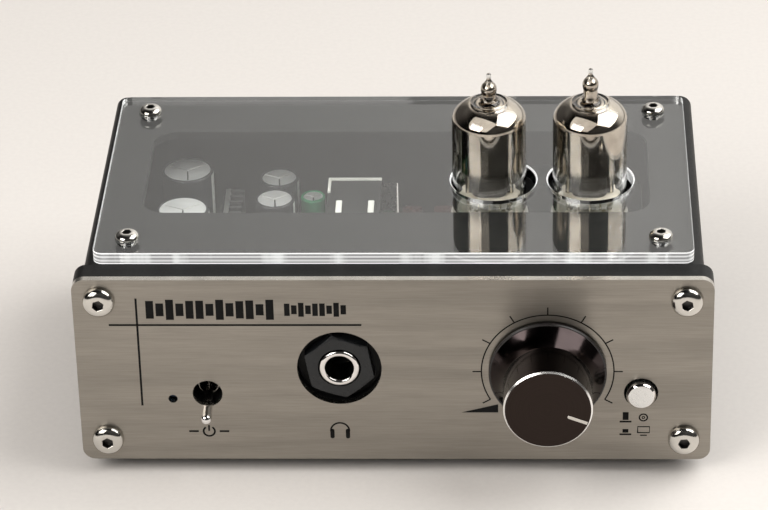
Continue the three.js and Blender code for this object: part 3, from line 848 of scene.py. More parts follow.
def tube_envelope(side, centre, foot, tip):
    radius, shoulder = TUBE_RADIUS, foot + SHOULDER
    inner = inner_crown(radius, shoulder, TUBE_WALL)
    outer = [(radius - 0.4 * MM, foot)] + arc(
        (radius - 0.4 * MM, foot + 0.4 * MM), 0.4 * MM, -90, 0, 4
    )
    profile = list(reversed(inner)) + [(radius - TUBE_WALL, foot)] + outer
    profile += crown(radius, shoulder, tip)
    made = turned(f"tube_{side}_glass", profile, centre, "z", 96, 60)
    return settle(paint(made, GLASS), "tube_glass", f"tube_{side}_envelope", body=f"tube_{side}")


def tube_silvering(side, centre, foot, tip, mirror):
    """A film bonded to the inside of the glass, from the dome down to where the glass is clear."""
    radius, shoulder = TUBE_RADIUS, foot + SHOULDER
    low = foot + SILVERED_FROM
    near = TUBE_WALL - 0.03 * MM
    far = TUBE_WALL + 0.03 * MM
    outside = [(radius - near, low)] + inner_crown(radius, shoulder, near)
    inside = [(radius - far, low)] + inner_crown(radius, shoulder, far)
    profile = outside + list(reversed(inside))
    made = turned(f"tube_{side}_silvering", profile, centre, "z", 96, 60)
    neck = shoulder + 5.2 * MM
    bulb = tip - 4.3 * MM
    core = [(0, neck), (1.9 * MM, neck), (1.35 * MM, neck + 1.2 * MM), (1.3 * MM, bulb - 1.3 * MM)]
    core += arc((0, bulb), (1.55 * MM, 1.6 * MM), -50, 60, 10) + [(0, bulb + 2.1 * MM)]
    seal = turned("seal", core, centre, "z", 48, 60)
    made = merge(f"tube_{side}_silvering", [paint(made, mirror), paint(seal, mirror)])
    return settle(made, "tube_glass", body=f"tube_{side}")


def tube_cage(side, centre, foot, high):
    """Anode, mica spacers and support wires."""
    x, y = centre.x, centre.y
    wide, deep = 4.2 * MM, 2.8 * MM
    bottom, top = foot + 5.5 * MM, foot + 21 * MM
    outline = rounded((x - wide, y - deep), (x + wide, y + deep), 2.6 * MM, 8)
    anode = prism("anode", outline, bottom, top, "z")
    parts = [paint(smooth(round_edges(anode, 0.15 * MM)), ELECTRODE)]
    for dx in (-wide, wide):
        wing = slab(
            "wing",
            (x + dx - 1.6 * MM, y - 0.15 * MM, bottom),
            (x + dx + 1.6 * MM, y + 0.15 * MM, top),
            edge=0.05 * MM,
        )
        parts.append(paint(wing, ELECTRODE))
        wire = cylinder("wire", x + 1.24 * dx, y, 0.4 * MM, foot, high - 0.4 * MM, "z", 16)
        parts.append(paint(smooth(wire), PIN_METAL))
    teeth = []
    for i in range(48):
        reach = 7.5 * MM if i % 4 < 2 else 6.9 * MM
        turn = 2 * math.pi * i / 48
        teeth.append((x + reach * math.cos(turn), y + reach * math.sin(turn)))
    for level in (bottom - 0.5 * MM, top):
        parts.append(paint(prism("mica", teeth, level, level + 0.4 * MM, "z"), MICA))
    for dx, dy in ((-2.6, 2.2), (2.6, 2.2), (0, -3.2), (-2.6, -2.2), (2.6, -2.2)):
        lead = cylinder("lead", x + dx * MM, y + dy * MM, 0.22 * MM, foot, foot + 5 * MM, "z", 12)
        parts.append(paint(smooth(lead), PIN_METAL))
    made = merge(f"tube_{side}_cage", parts)
    return settle(made, "electrode_metal", f"tube_{side}_electrodes", body=f"tube_{side}")


def pin_spots(x, y):
    """Seven of eight equal places on the pin circle: the gap is at the rear."""
    turns = [math.radians(90 + 45 * (i + 1)) for i in range(7)]
    return [(x + PIN_CIRCLE * math.cos(t), y + PIN_CIRCLE * math.sin(t)) for t in turns]


def tube_foot(side, centre, low, high):
    """The flat glass base and its pins."""
    glass_low = low + PIN_LENGTH
    profile = [(0, glass_low), (7.4 * MM, glass_low)]
    profile += arc((7.7 * MM, glass_low + 0.8 * MM), 0.8 * MM, -90, 0, 5)
    profile += [(8.5 * MM, high), (0, high)]
    base = paint(turned("base", profile, centre, "z", 64), GLASS)
    parts = [base]
    for x, y in pin_spots(centre.x, centre.y):
        tip = [(0, low), (0.3 * MM, low + 0.1 * MM), (0.5 * MM, low + 0.8 * MM)]
        tip += [(0.5 * MM, high + 0.6 * MM), (0, high + 0.6 * MM)]
        parts.append(paint(turned("pin", tip, Vector((x, y, 0)), "z", 16), PIN_METAL))
    made = merge(f"tube_{side}_foot", parts)
    return settle(made, "tube_glass", f"tube_{side}_base", body=f"tube_{side}")


def tube_socket(side, centre, low, high):
    profile = [(0, low), (8.2 * MM, low), (8.2 * MM, high - 1.9 * MM), (9.2 * MM, high - 1.9 * MM)]
    profile += arc((9.0 * MM, high - 1.4 * MM), 0.4 * MM, -60, 0, 4)
    profile += arc((8.9 * MM, high - 0.5 * MM), 0.5 * MM, 0, 90, 5) + [(0, high)]
    made = turned("socket", profile, centre, "z", 64)
    cutters = [
        cylinder("hole", x, y, 0.85 * MM, high - 8 * MM, high + MM, "z", 20)
        for x, y in pin_spots(centre.x, centre.y)
    ]
    cutters.append(cylinder("hole", centre.x, centre.y, 1.7 * MM, low - MM, high + MM, "z", 32))
    made.name = f"tube_{side}_holder"
    combine(made, cutters)
    round_edges(made, 0.12 * MM, 1, 50)
    return settle(paint(smooth(made), CERAMIC), "socket_ceramic", f"tube_{side}_socket")


def place_tubes():
    foot = box_of("tube_left_envelope")[0].z
    mirror = getter_mirror(foot + 12.9 * MM, foot + 15.2 * MM)
    for side in SIDES:
        low, high, middle = box_of(f"tube_{side}_envelope")
        centre = Vector((middle.x, middle.y, 0))
        tube_envelope(side, centre, low.z, high.z)
        tube_silvering(side, centre, low.z, high.z, mirror)
        tube_cage(side, centre, low.z, box_of(f"tube_{side}_electrodes")[1].z)
        base_low, base_high, _ = box_of(f"tube_{side}_base")
        tube_foot(side, centre, base_low.z, base_high.z)
        socket_low, socket_high, _ = box_of(f"tube_{side}_socket")
        tube_socket(side, centre, socket_low.z, socket_high.z)


place_tubes()


# ---------------------------------------------------------------- volume knob

POINTER_ANGLE = -21.5  # degrees above the horizontal, seen from the front
SCALE_RADIUS = 15.6 * MM


def knob():
    low, high, _ = box_of("volume_knob")
    skirt = (high.x - low.x) / 2
    grip = 10.4 * MM
    face = low.y
    back = high.y
    flare_low, flare_high = (skirt - 0.45 * MM, back - 1.0 * MM), (grip, back - 5.9 * MM)
    flare = []
    for i in range(13):
        share = i / 12
        bulge = 0.35 * MM * math.sin(math.pi * share)
        radius = flare_low[0] + (flare_high[0] - flare_low[0]) * share - bulge
        flare.append((radius, flare_low[1] + (flare_high[1] - flare_low[1]) * share))
    profile = [(0, face + 1.5 * MM), (3.3 * MM, face + 1.5 * MM), (3.3 * MM, back - 4.6 * MM)]
    profile += [(8 * MM, back - 4.6 * MM), (8 * MM, back), (skirt - 0.25 * MM, back)]
    profile += [(skirt, back - 0.25 * MM), (skirt, back - 0.7 * MM), (skirt - 0.2 * MM, back - 0.95 * MM)]
    profile += flare
    chamfer = 0.38 * MM
    profile += [(grip, face + chamfer), (grip - chamfer, face)]
    profile += [(8 * MM, face), (5 * MM, face), (2 * MM, face), (0, face)]
    made = turned("knob", profile, Vector((knob_axis.x, 0, knob_axis.z)), "y", 144, 28)
    paint(made, KNOB_SIDE, KNOB_RIM, KNOB_FACE, KNOB_EDGE)
    rim_edge = grip - chamfer
    for polygon in made.data.polygons:
        x, y, z = polygon.center
        out = math.hypot(x - knob_axis.x, z - knob_axis.z)
        if y < face + 0.05 * MM and out < rim_edge:
            polygon.material_index = 2
        elif y < face + 0.9 * chamfer and out > rim_edge - 0.1 * MM:
            polygon.material_index = 1
        elif y > back - 1.0 * MM:
            polygon.material_index = 3
    return settle(made, "knob_anodised", "volume_knob", body="knob")


def knob_pointer():
    """A bright bar let into the knob's face, from half way out to the rim."""
    low, _, _ = box_of("volume_knob")
    start, end, half = 5.3 * MM, 9.85 * MM, 0.42 * MM
    outline = arc((start, 0), half, 90, 270, 8) + [(end, -half), (end, half)]
    turn = math.radians(POINTER_ANGLE)
    spots = [
        (
            knob_axis.x + a * math.cos(turn) - b * math.sin(turn),
            knob_axis.z + a * math.sin(turn) + b * math.cos(turn),
        )
        for a, b in outline
    ]
    made = prism("knob_pointer", spots, low.y - 0.04 * MM, low.y + 0.3 * MM, "y")
    round_edges(made, 0.03 * MM, 1)
    return settle(paint(smooth(made), STAINLESS), "knob_anodised", body="knob")


def potentiometer():
    low, high, _ = box_of("potentiometer")
    x, z = knob_axis.x, knob_axis.z
    front = box_of("body_shell")[0].y + 1.4 * MM
    can = slab("can", (low.x, front, low.z), (high.x, high.y, high.z), edge=0.5 * MM)
    bushing = [(3.2 * MM, low.y + 0.1 * MM), (3.5 * MM, low.y)]
    turns = 14
    pitch = (front - low.y) / turns
    for i in range(turns):
        for radius, share in ((3.7, 0.25), (3.7, 0.5), (3.45, 0.75), (3.45, 0.98)):
            bushing.append((radius * MM, low.y + (i + share) * pitch))
    bushing += [(3.5 * MM, front + 0.3 * MM), (3.2 * MM, front + 0.3 * MM)]
    thread = turned("thread", bushing, Vector((x, 0, z)), "y", 64)
    made = merge("volume_control", [paint(can, ALUMINIUM), paint(thread, NICKEL)])
    settle(made, "bare_aluminium", "potentiometer")
    shaft_low, shaft_high, _ = box_of("potentiometer_shaft")
    profile = [(0, shaft_low.y), (2.6 * MM, shaft_low.y), (3 * MM, shaft_low.y + 0.4 * MM)]
    profile += [(3 * MM, shaft_high.y), (0, shaft_high.y)]
    shaft = turned("volume_shaft", profile, Vector((x, 0, z)), "y", 48)
    settle(paint(shaft, ALUMINIUM), "bare_aluminium", "potentiometer_shaft", body="knob")
    nut = hex_nut("volume_nut", "potentiometer_nut", x, z, 6.2 * MM, 3.85 * MM, 0)
    settle(paint(nut, NICKEL), "stainless_steel", "potentiometer_nut")


def hex_nut(name, node, x, z, corner, bore, turn):
    """A hexagon nut whose corners are chamfered by a cone, as a turned one is."""
    low, high, _ = box_of(node)
    turns = [math.radians(turn + 60 * i) for i in range(6)]
    hexagon = [(x + corner * math.cos(t), z + corner * math.sin(t)) for t in turns]
    made = prism(name, hexagon, low.y, high.y, "y")
    flat = corner * math.cos(math.pi / 6)
    start, end = low.y - MM, high.y + MM
    inner, outer = flat - 0.35 * MM, corner + 0.5 * MM
    profile = [(0, start), (inner, start), (inner, low.y), (outer, low.y + 0.75 * MM), (outer, end)]
    cone = turned("cone", profile + [(0, end)], Vector((x, 0, z)), "y", 96)
    combine(made, [cone], "INTERSECT")
    combine(made, [cylinder("bore", x, z, bore, start, end, "y", 72)])
    round_edges(made, 0.1 * MM, 2, 45)
    return smooth(made)


knob()
knob_pointer()
potentiometer()


# ---------------------------------------------------------------- headphone jack


def headphone_jack():
    x, z = jack_axis.x, jack_axis.z
    nut = hex_nut("jack_collar", "jack_nut", x, z, 8.75 * MM, COLLAR_HOLE, 40)
    settle(paint(nut, NUT_PLASTIC), "black_plastic", "jack_nut")
    ring, bore = 4.76 * MM, 3.3 * MM
    middle = (ring + bore) / 2
    half = (ring - bore) / 2
    lip = arc((middle, jack_low.y + 0.6 * MM), (half, 0.6 * MM), 180, 360, 14)
    profile = [(bore, jack_high.y)] + lip
    turns = 8
    start = jack_low.y + 1.2 * MM
    pitch = (jack_high.y - start) / turns
    for i in range(turns):
        profile += [(ring - 0.22 * MM, start + (i + 0.2) * pitch), (ring, start + (i + 0.7) * pitch)]
    profile.append((ring - 0.1 * MM, jack_high.y))
    bushing = turned("jack_ring", profile, Vector((x, 0, z)), "y", 96, 40)
    settle(paint(bushing, CHROME), "bright_chrome", "jack_bushing")
    low, high, _ = box_of("headphone_jack")
    body = slab("jack_body", low, high, edge=0.4 * MM)
    combine(body, [cylinder("bore", x, z, bore, low.y - MM, high.y - 4 * MM, "y", 64)])
    contacts = [paint(smooth(body), PLASTIC)]
    for depth, sign in ((9, 1), (17, -1)):
        leaf = slab(
            "leaf",
            (x + sign * 2.3 * MM - 0.2 * MM, low.y + depth * MM, z - 1.1 * MM),
            (x + sign * 2.3 * MM + 0.2 * MM, low.y + (depth + 5) * MM, z + 1.1 * MM),
            edge=0.15 * MM,
        )
        contacts.append(paint(leaf, NICKEL))
    made = merge("jack_housing", contacts)
    return settle(made, "black_plastic", "headphone_jack")


headphone_jack()


# ---------------------------------------------------------------- power switch, source button, lamp

LEVER_TILT = 13  # degrees below level, at rest
LEVER_REACH = 15.2 * MM


def power_switch():
    low, high, _ = box_of("toggle_switch")
    x, y, z = lever_axis
    body = slab("body", (low.x, y + 0.6 * MM, low.z), high, edge=0.25 * MM)
    bushing = [(2.25 * MM, low.y), (2.42 * MM, low.y), (2.5 * MM, low.y + 0.15 * MM)]
    turns = 6
    pitch = (y + 0.6 * MM - low.y - 0.3 * MM) / turns
    for i in range(turns):
        start = low.y + 0.3 * MM + i * pitch
        bushing += [(2.5 * MM, start), (2.5 * MM, start + 0.3 * pitch), (2.3 * MM, start + 0.65 * pitch)]
    bushing += [(2.3 * MM, y + 0.7 * MM), (1.7 * MM, y + 0.7 * MM), (1.75 * MM, y)]
    thread = turned("thread", bushing, Vector((x, 0, z)), "y", 64)
    hollow = [(0, y), (1.75 * MM, y), (1.75 * MM, y + 3 * MM), (0, y + 3 * MM)]
    combine(body, [turned("socket", hollow, Vector((x, 0, z)), "y", 48)])
    made = merge("power_switch", [paint(body, PLASTIC), paint(thread, NICKEL)])
    settle(made, "black_plastic", "toggle_switch")

    tip = -LEVER_REACH
    profile = [(0, 1.4 * MM), (0.8 * MM, 1.1 * MM), (1.3 * MM, 0.3 * MM), (1.3 * MM, -0.3 * MM)]
    profile += [(0.95 * MM, -1.2 * MM), (0.92 * MM, -3.6 * MM), (1.05 * MM, -5.5 * MM)]
    profile += [(1.2 * MM, -9 * MM), (1.34 * MM, tip + 1.3 * MM)]
    profile += arc((0, tip + 0.85 * MM), (1.34 * MM, 1.35 * MM), 0, -90, 10)[1:-1]
    profile.append((0, tip - 0.5 * MM))
    lever = turned("power_lever", profile, Vector(), "y", 48, 50)
    tilt = Matrix.Rotation(math.radians(LEVER_TILT), 4, "X")
    lever.data.transform(Matrix.Translation(lever_axis) @ tilt)
    settle(paint(lever, CHROME), "bright_chrome", "toggle_lever", body="power_lever")


def source_button():
    x, z = button_axis.x, button_axis.z
    radius = (button_high.x - button_low.x) / 2
    face = button_low.y
    cap_back = face + 7.9 * MM
    profile = [(0, face), (1.2 * MM, face), (radius - 0.62 * MM, face)]
    profile += [(radius - 0.5 * MM, face + 0.04 * MM), (radius - 0.05 * MM, face + 0.5 * MM)]
    profile += [(radius, face + 0.62 * MM), (radius, cap_back), (1.6 * MM, cap_back)]
    profile += [(1.6 * MM, button_high.y), (0, button_high.y)]
    made = turned("button_cap", profile, Vector((x, 0, z)), "y", 96, 25)
    paint(made, BUTTON, CHROME)
    for polygon in made.data.polygons:
        spot = polygon.center
        out = math.hypot(spot.x - x, spot.z - z)
        rim = out > radius - 0.66 * MM and spot.y < face + 0.6 * MM
        polygon.material_index = 1 if rim else 0
    settle(made, "button_metal", "source_button", body="button")
    low, high, _ = box_of("push_switch")
    body = slab("source_switch", low, high, edge=0.3 * MM)
    combine(body, [cylinder("bore", x, z, 1.9 * MM, low.y - MM, low.y + 5.5 * MM, "y", 32)])
    settle(paint(smooth(body), PLASTIC), "black_plastic", "push_switch")


def power_lamp():
    x = lamp_mid.x
    profile = [(0, lamp_low.y)] + arc(
        (0, lamp_low.y + LAMP_RADIUS), (LAMP_RADIUS, LAMP_RADIUS), -80, 0, 8
    )
    profile += [(LAMP_RADIUS, lamp_high.y - 1.0 * MM), (0, lamp_high.y - 1.0 * MM)]
    lens = turned("lens", profile, Vector((x, 0, LAMP_Z)), "y", 48)
    parts = [paint(lens, LAMP)]
    for dx in (-0.6, 0.6):
        leg = slab(
            "leg",
            (x + (dx - 0.25) * MM, lamp_high.y - 1.2 * MM, lamp_low.z),
            (x + (dx + 0.25) * MM, lamp_high.y - 0.7 * MM, LAMP_Z),
            edge=0.05 * MM,
        )
        parts.append(paint(leg, PIN_METAL))
    settle(merge("front_lamp", parts), "lamp_lens", "power_lamp")


power_switch()
source_button()
power_lamp()


# ---------------------------------------------------------------- printing on the panel


def ribbon(points, width):
    """A flat stripe along a line of (x, z) points, as one outline."""
    left, right = [], []
    count = len(points)
    for i, (x, z) in enumerate(points):
        before = points[max(i - 1, 0)]
        after = points[min(i + 1, count - 1)]
        length = math.hypot(after[0] - before[0], after[1] - before[1])
        nx, nz = -(after[1] - before[1]) / length, (after[0] - before[0]) / length
        left.append((x + nx * width / 2, z + nz * width / 2))
        right.append((x - nx * width / 2, z - nz * width / 2))
    return left + right[::-1]


def printed(shapes):
    """Thin ink shapes on the panel's face, from outlines in millimetres from its lower middle."""
    face = panel_low.y
    parts = []
    for outline in shapes:
        spots = [(x * MM, panel_low.z + z * MM) for x, z in outline]
        part = prism("ink", spots, face - 0.03 * MM, face + 0.02 * MM, "y")
        parts.append(paint(part, INK))
    return parts


def ring(x, z, radius, width, start=0, end=360, steps=40):
    return ribbon(arc((x, z), radius, start, end, steps), width)


def rectangle(x0, z0, x1, z1):
    return [(x0, z0), (x1, z0), (x1, z1), (x0, z1)]


def scale_marks():
    """The arc round the knob, with a tick every 30 degrees."""
    x, z = knob_axis.x / MM, (knob_axis.z - panel_low.z) / MM
    radius = SCALE_RADIUS / MM
    shapes = [ring(x, z, radius, INK_LINE, -30, 210, 90)]
    for degrees in range(-30, 211, 30):
        turn = math.radians(degrees)
        reach = [(x + r * math.cos(turn), z + r * math.sin(turn)) for r in (radius, radius + 2.1)]
        shapes.append(ribbon(reach, INK_LINE))
    return shapes


INK_LINE = 0.32  # widths and places of the printing are in millimetres
BARS_LEVEL = 41.9
POWER_MARK = (-44.4, 7.9)
HEADPHONE_MARK = (-13.1, 8.1)
BUTTON_MARK_X = 54.8
SOURCE_MARK_X = 59.0


def bar_rows():
    """Two rows of bars, like a sound level's."""
    shapes = []
    for start, count, width, tallest in ((-57.8, 13, 1.85, 2.75), (-25.3, 9, 1.3, 1.9)):
        for i in range(count):
            half = tallest * (0.45 + 0.55 * abs(math.sin(1.9 * i + 0.9)))
            x = start + 1.27 * width * i
            shapes.append(rectangle(x, BARS_LEVEL - half, x + width, BARS_LEVEL + half))
    return shapes


def power_mark():
    """A broken ring with a stroke through its gap, between two dashes."""
    x, z = POWER_MARK
    shapes = [ring(x, z, 1.35, 0.45, 125, 415, 30), rectangle(x - 0.22, z + 0.1, x + 0.22, z + 1.7)]
    for start in (x - 4.8, x + 2.5):
        shapes.append(rectangle(start, z - 0.25, start + 2.3, z + 0.25))
    return shapes


def headphone_mark():
    x, z = HEADPHONE_MARK
    shapes = [ring(x, z, 2.2, 0.42, -5, 185, 24)]
    for inner in (x - 2.35, x + 1.35):
        shapes.append(rounded((inner, z - 2.2), (inner + 1, z + 0.5), 0.45, 4))
    return shapes


def source_marks():
    """The button out beside a disc, and the button in beside a screen."""
    shapes = []
    for base, tall in ((10.5, 2.2), (6.9, 1.0)):
        shapes.append(rectangle(BUTTON_MARK_X - 1.4, base, BUTTON_MARK_X + 1.4, base + 0.45))
        shapes.append(rectangle(BUTTON_MARK_X - 0.7, base + 0.7, BUTTON_MARK_X + 0.7, base + 0.7 + tall))
    x = SOURCE_MARK_X
    shapes += [ring(x, 11.9, 0.95, 0.35, steps=28), ring(x, 11.9, 0.3, 0.25, steps=16)]
    left, right, low, high = x - 1.3, x + 1.5, 7.6, 9.3
    shapes.append(ribbon([(left, low), (right, low), (right, high), (left, high), (left, low - 0.15)], 0.3))
    shapes.append(rectangle(x - 0.7, 6.7, x + 0.9, 7.0))
    return shapes


def panel_printing():
    """Crossed lines, two rows of bars, the volume scale with its wedge, and a pictogram for each control."""
    shapes = [rectangle(-60.25, 15.2, -59.75, 45), rectangle(-66.7, 37.45, -7.3, 37.95)]
    shapes += bar_rows() + scale_marks() + power_mark() + headphone_mark()
    shapes.append([(15.9, 13.3), (24.6, 13.3), (24.6, 15.6)])
    return merge("panel_printing", printed(shapes + source_marks()))


settle(panel_printing(), "brushed_panel")


# ---------------------------------------------------------------- circuit boards and components

PIN_PITCH = 2.54 * MM


def can_capacitor(node, sleeve_color):
    """An electrolytic can: a shrunk sleeve with a groove, curled over a bare top that is scored to vent."""
    low, high, middle = box_of(node)
    radius = (high.x - low.x) / 2
    centre = Vector((middle.x, middle.y, 0))
    lip = 0.62 * MM
    top = high.z
    profile = [(0, low.z), (radius - 0.5 * MM, low.z)]
    profile += arc((radius - 0.5 * MM, low.z + 0.5 * MM), 0.5 * MM, -90, 0, 4)
    groove = low.z + 2.9 * MM
    profile += [(radius, groove - 0.7 * MM), (radius - 0.5 * MM, groove), (radius, groove + 0.7 * MM)]
    profile += arc((radius - lip, top - lip), lip, 0, 90, 6)
    profile += [(radius - 1.05 * lip, top - 0.12 * MM), (radius - 1.2 * lip, top - 0.3 * MM)]
    profile.append((0, top - 0.3 * MM))
    can = turned("can", profile, centre, "z", 72)
    grooves = []
    for degrees in (35, 155, 275):
        turn = math.radians(degrees)
        end = (0.78 * radius * math.cos(turn), 0.78 * radius * math.sin(turn))
        stripe = ribbon([(0, 0), end], 0.35 * MM)
        spots = [(middle.x + a, middle.y + b) for a, b in stripe]
        grooves.append(prism("groove", spots, top - 0.5 * MM, top, "z"))
    combine(can, grooves)
    paint(can, sleeve_color, CAN_TOP, SLEEVE_STRIPE, CHROME)
    for polygon in can.data.polygons:
        x, y, z = polygon.center - centre
        if z > top - 0.55 * MM and math.hypot(x, y) < radius - 1.15 * lip:
            polygon.material_index = 3 if z < top - 0.35 * MM else 1
        elif x > 0.95 * radius and low.z + 4 * MM < z < top - MM:
            polygon.material_index = 2
    smooth(can)
    can.name = "piece_" + node
    return can


def relay():
    """A black box with a pale frame let into the rear and left edges of its top, and two pale ribs."""
    low, high, _ = box_of("output_relay")
    body = slab("body", low, high - Vector((0, 0, 0.5 * MM)), 0.6 * MM, 0.3 * MM)
    parts = [paint(body, PLASTIC)]
    top = (high.z - 0.6 * MM, high.z)
    width = 0.75 * MM
    strips = [
        ((low.x, high.y - width), (high.x, high.y)),
        ((low.x, low.y + 11 * MM), (low.x + width, high.y - width)),
        ((low.x + 2.4 * MM, low.y), (low.x + 3.9 * MM, low.y + 6.5 * MM)),
        ((high.x - 3.0 * MM, low.y), (high.x - 1.5 * MM, low.y + 6.5 * MM)),
    ]
    for start, end in strips:
        strip = slab("strip", (*start, top[0]), (*end, top[1]), edge=0.12 * MM)
        parts.append(paint(strip, WHITE_PLASTIC))
    return settle(merge("relay", parts), "black_plastic", "output_relay")


def heat_sink():
    low, high, _ = box_of("heat_sink")
    parts = [slab("plate", low, (low.x + 1.2 * MM, high.y, high.z), edge=0.15 * MM)]
    y = low.y
    while y < high.y - MM:
        start = (low.x + 1.0 * MM, y, low.z)
        parts.append(slab("fin", start, (high.x, y + MM, high.z), edge=0.2 * MM))
        y += 2.7 * MM
    paint(parts[0], ALUMINIUM)
    for part in parts[1:]:
        paint(part, PLASTIC)
    settle(merge("heat_sink_fins", parts), "bare_aluminium", "heat_sink")
    low, high, middle = box_of("voltage_regulator")
    split = low.z + 11.5 * MM
    bottom = low.z + 3 * MM
    chip = slab("chip", (low.x, low.y, bottom), (high.x - 0.9 * MM, high.y, split), edge=0.25 * MM)
    tab = slab("tab", (high.x - 1.3 * MM, low.y, bottom), high, edge=0.15 * MM)
    screw = cylinder("screw", middle.y, split + 4 * MM, 2.6 * MM, low.x + 0.6 * MM, high.x, "x", 32)
    smooth(round_edges(screw, 0.3 * MM))
    parts = [paint(chip, PLASTIC), paint(tab, NICKEL), paint(screw, STAINLESS)]
    for dy in (-PIN_PITCH, 0, PIN_PITCH):
        y = middle.y + dy
        x = middle.x - 0.4 * MM
        leg = slab(
            "leg",
            (x - 0.25 * MM, y - 0.4 * MM, low.z),
            (x + 0.25 * MM, y + 0.4 * MM, low.z + 3.2 * MM),
            edge=0.05 * MM,
        )
        parts.append(paint(leg, PIN_METAL))
    settle(merge("regulator", parts), "black_plastic", "voltage_regulator")


def resistor(x, y, level, turn, color):
    """An axial resistor lying on the board with its wires bent down."""
    profile = [(0, -3.1 * MM)] + arc((0.5 * MM, -2.4 * MM), 0.7 * MM, -90, 0, 4)
    profile += [(1.0 * MM, -1.6 * MM), (1.0 * MM, 1.6 * MM)]
    profile += arc((0.5 * MM, 2.4 * MM), 0.7 * MM, 0, 90, 4) + [(0, 3.1 * MM)]
    body = turned("body", profile, Vector(), "x", 20)
    thin, end, lift = 0.3 * MM, 4.8 * MM, 1.3 * MM
    wire = turned("wire", [(0, -end), (thin, -end), (thin, end), (0, end)], Vector(), "x", 10)
    parts = [paint(body, color), paint(wire, PIN_METAL)]
    for bend in (0.2 * MM - end, end - 0.2 * MM):
        leg = cylinder("leg", bend, 0, thin, -lift, 0.2 * MM, "z", 10)
        parts.append(paint(leg, PIN_METAL))
    made = merge("resistor", parts)
    spin = Matrix.Rotation(math.radians(turn), 4, "Z")
    made.data.transform(Matrix.Translation((x, y, level + lift)) @ spin)
    return made


# Places on the main board, in millimetres from the middle and back from the panel's face, and turns.
RESISTORS = (
    (-40, 20, 0), (-40, 26, 0), (-28, 20, 90), (-28, 32, 90), (-62, 34, 90), (-62, 22, 90),
    (2, 14, 0), (2, 20, 0), (2, 26, 0), (2, 32, 0), (14, 12, 90), (20, 68, 0), (32, 68, 0),
    (44, 68, 0), (-22, 42, 0), (-22, 48, 0), (0, 42, 90), (4, 42, 90), (-40, 38, 90), (-36, 38, 90),
)
CHIPS = ((-52, 28), (-12, 40), (-48, 40), (58, 40), (62, 62))
CHIP_SIZE = Vector((6, 8, 2.2)) * MM
CHIP_LIFT = 0.3 * MM


def chip_parts(x, y, level):
    """A chip in a flat black case, with four legs along each side."""
    start = Vector((x - CHIP_SIZE.x / 2, y - CHIP_SIZE.y / 2, level + CHIP_LIFT))
    parts = [paint(slab("chip", start, start + CHIP_SIZE, edge=0.2 * MM), PLASTIC)]
    for i in range(4):
        for across in (-0.8 * MM, CHIP_SIZE.x - 0.2 * MM):
            leg = start + Vector((across, (1 + 1.8 * i) * MM, -CHIP_LIFT))
            parts.append(paint(slab("pin", leg, leg + Vector((1, 0.6, 0.9)) * MM), PIN_METAL))
    return parts


def small_parts():
    """Resistors and chips in the free places of the main board."""
    level = box_of("circuit_board")[1].z
    parts = []
    for i, (x, y, turn) in enumerate(RESISTORS):
        color = (BODY_TAN, BODY_BLUE)[i % 2]
        parts.append(resistor(x * MM, panel_low.y + y * MM, level, turn, color))
    for x, y in CHIPS:
        parts += chip_parts(x * MM, panel_low.y + y * MM, level)
    return settle(merge("small_parts", parts), "circuit_board")


def boards():
    low, high, _ = box_of("circuit_board")
    main = slab("main_board", low, high, 1 * MM, 0.1 * MM)
    settle(paint(main, BOARD), "circuit_board", "circuit_board")
    low, high, _ = box_of("tube_board")
    raised = slab("raised_board", low, high, 1 * MM, 0.1 * MM)
    settle(paint(raised, BOARD), "circuit_board", "tube_board")
    for side in SIDES:
        node = f"board_connector_{side}"
        low, high, middle = box_of(node)
        shroud = slab("shroud", low, (high.x, high.y, low.z + 8.5 * MM), edge=0.2 * MM)
        header = slab("header", (low.x, low.y, low.z + 10 * MM), high, edge=0.2 * MM)
        parts = [paint(shroud, PLASTIC), paint(header, PLASTIC)]
        for i in range(8):
            y = low.y + 1.6 * MM + i * PIN_PITCH
            spot = Vector((middle.x - 0.32 * MM, y - 0.32 * MM, low.z + 4 * MM))
            pin = slab("pin", spot, spot + Vector((0.64 * MM, 0.64 * MM, high.z - low.z - 4 * MM)))
            parts.append(paint(pin, GOLD))
        settle(merge(f"stacking_connector_{side}", parts), "black_plastic", node)


def film_capacitors():
    for side in SIDES:
        node = f"film_capacitor_{side}"
        low, high, _ = box_of(node)
        made = slab("piece_" + node, low, high, 0.8 * MM, 0.5 * MM, 3)
        settle(paint(made, FILM), "film_capacitor", node)


boards()
small_parts()
film_capacitors()
relay()
heat_sink()
for name in ("reservoir", "output"):
    for end in ENDS:
        node = f"{name}_capacitor_{end}"
        settle(can_capacitor(node, SLEEVE), "capacitor_sleeve", node)
settle(can_capacitor("supply_choke", GREEN), "green_sleeve", "supply_choke")


# ---------------------------------------------------------------- rear connectors


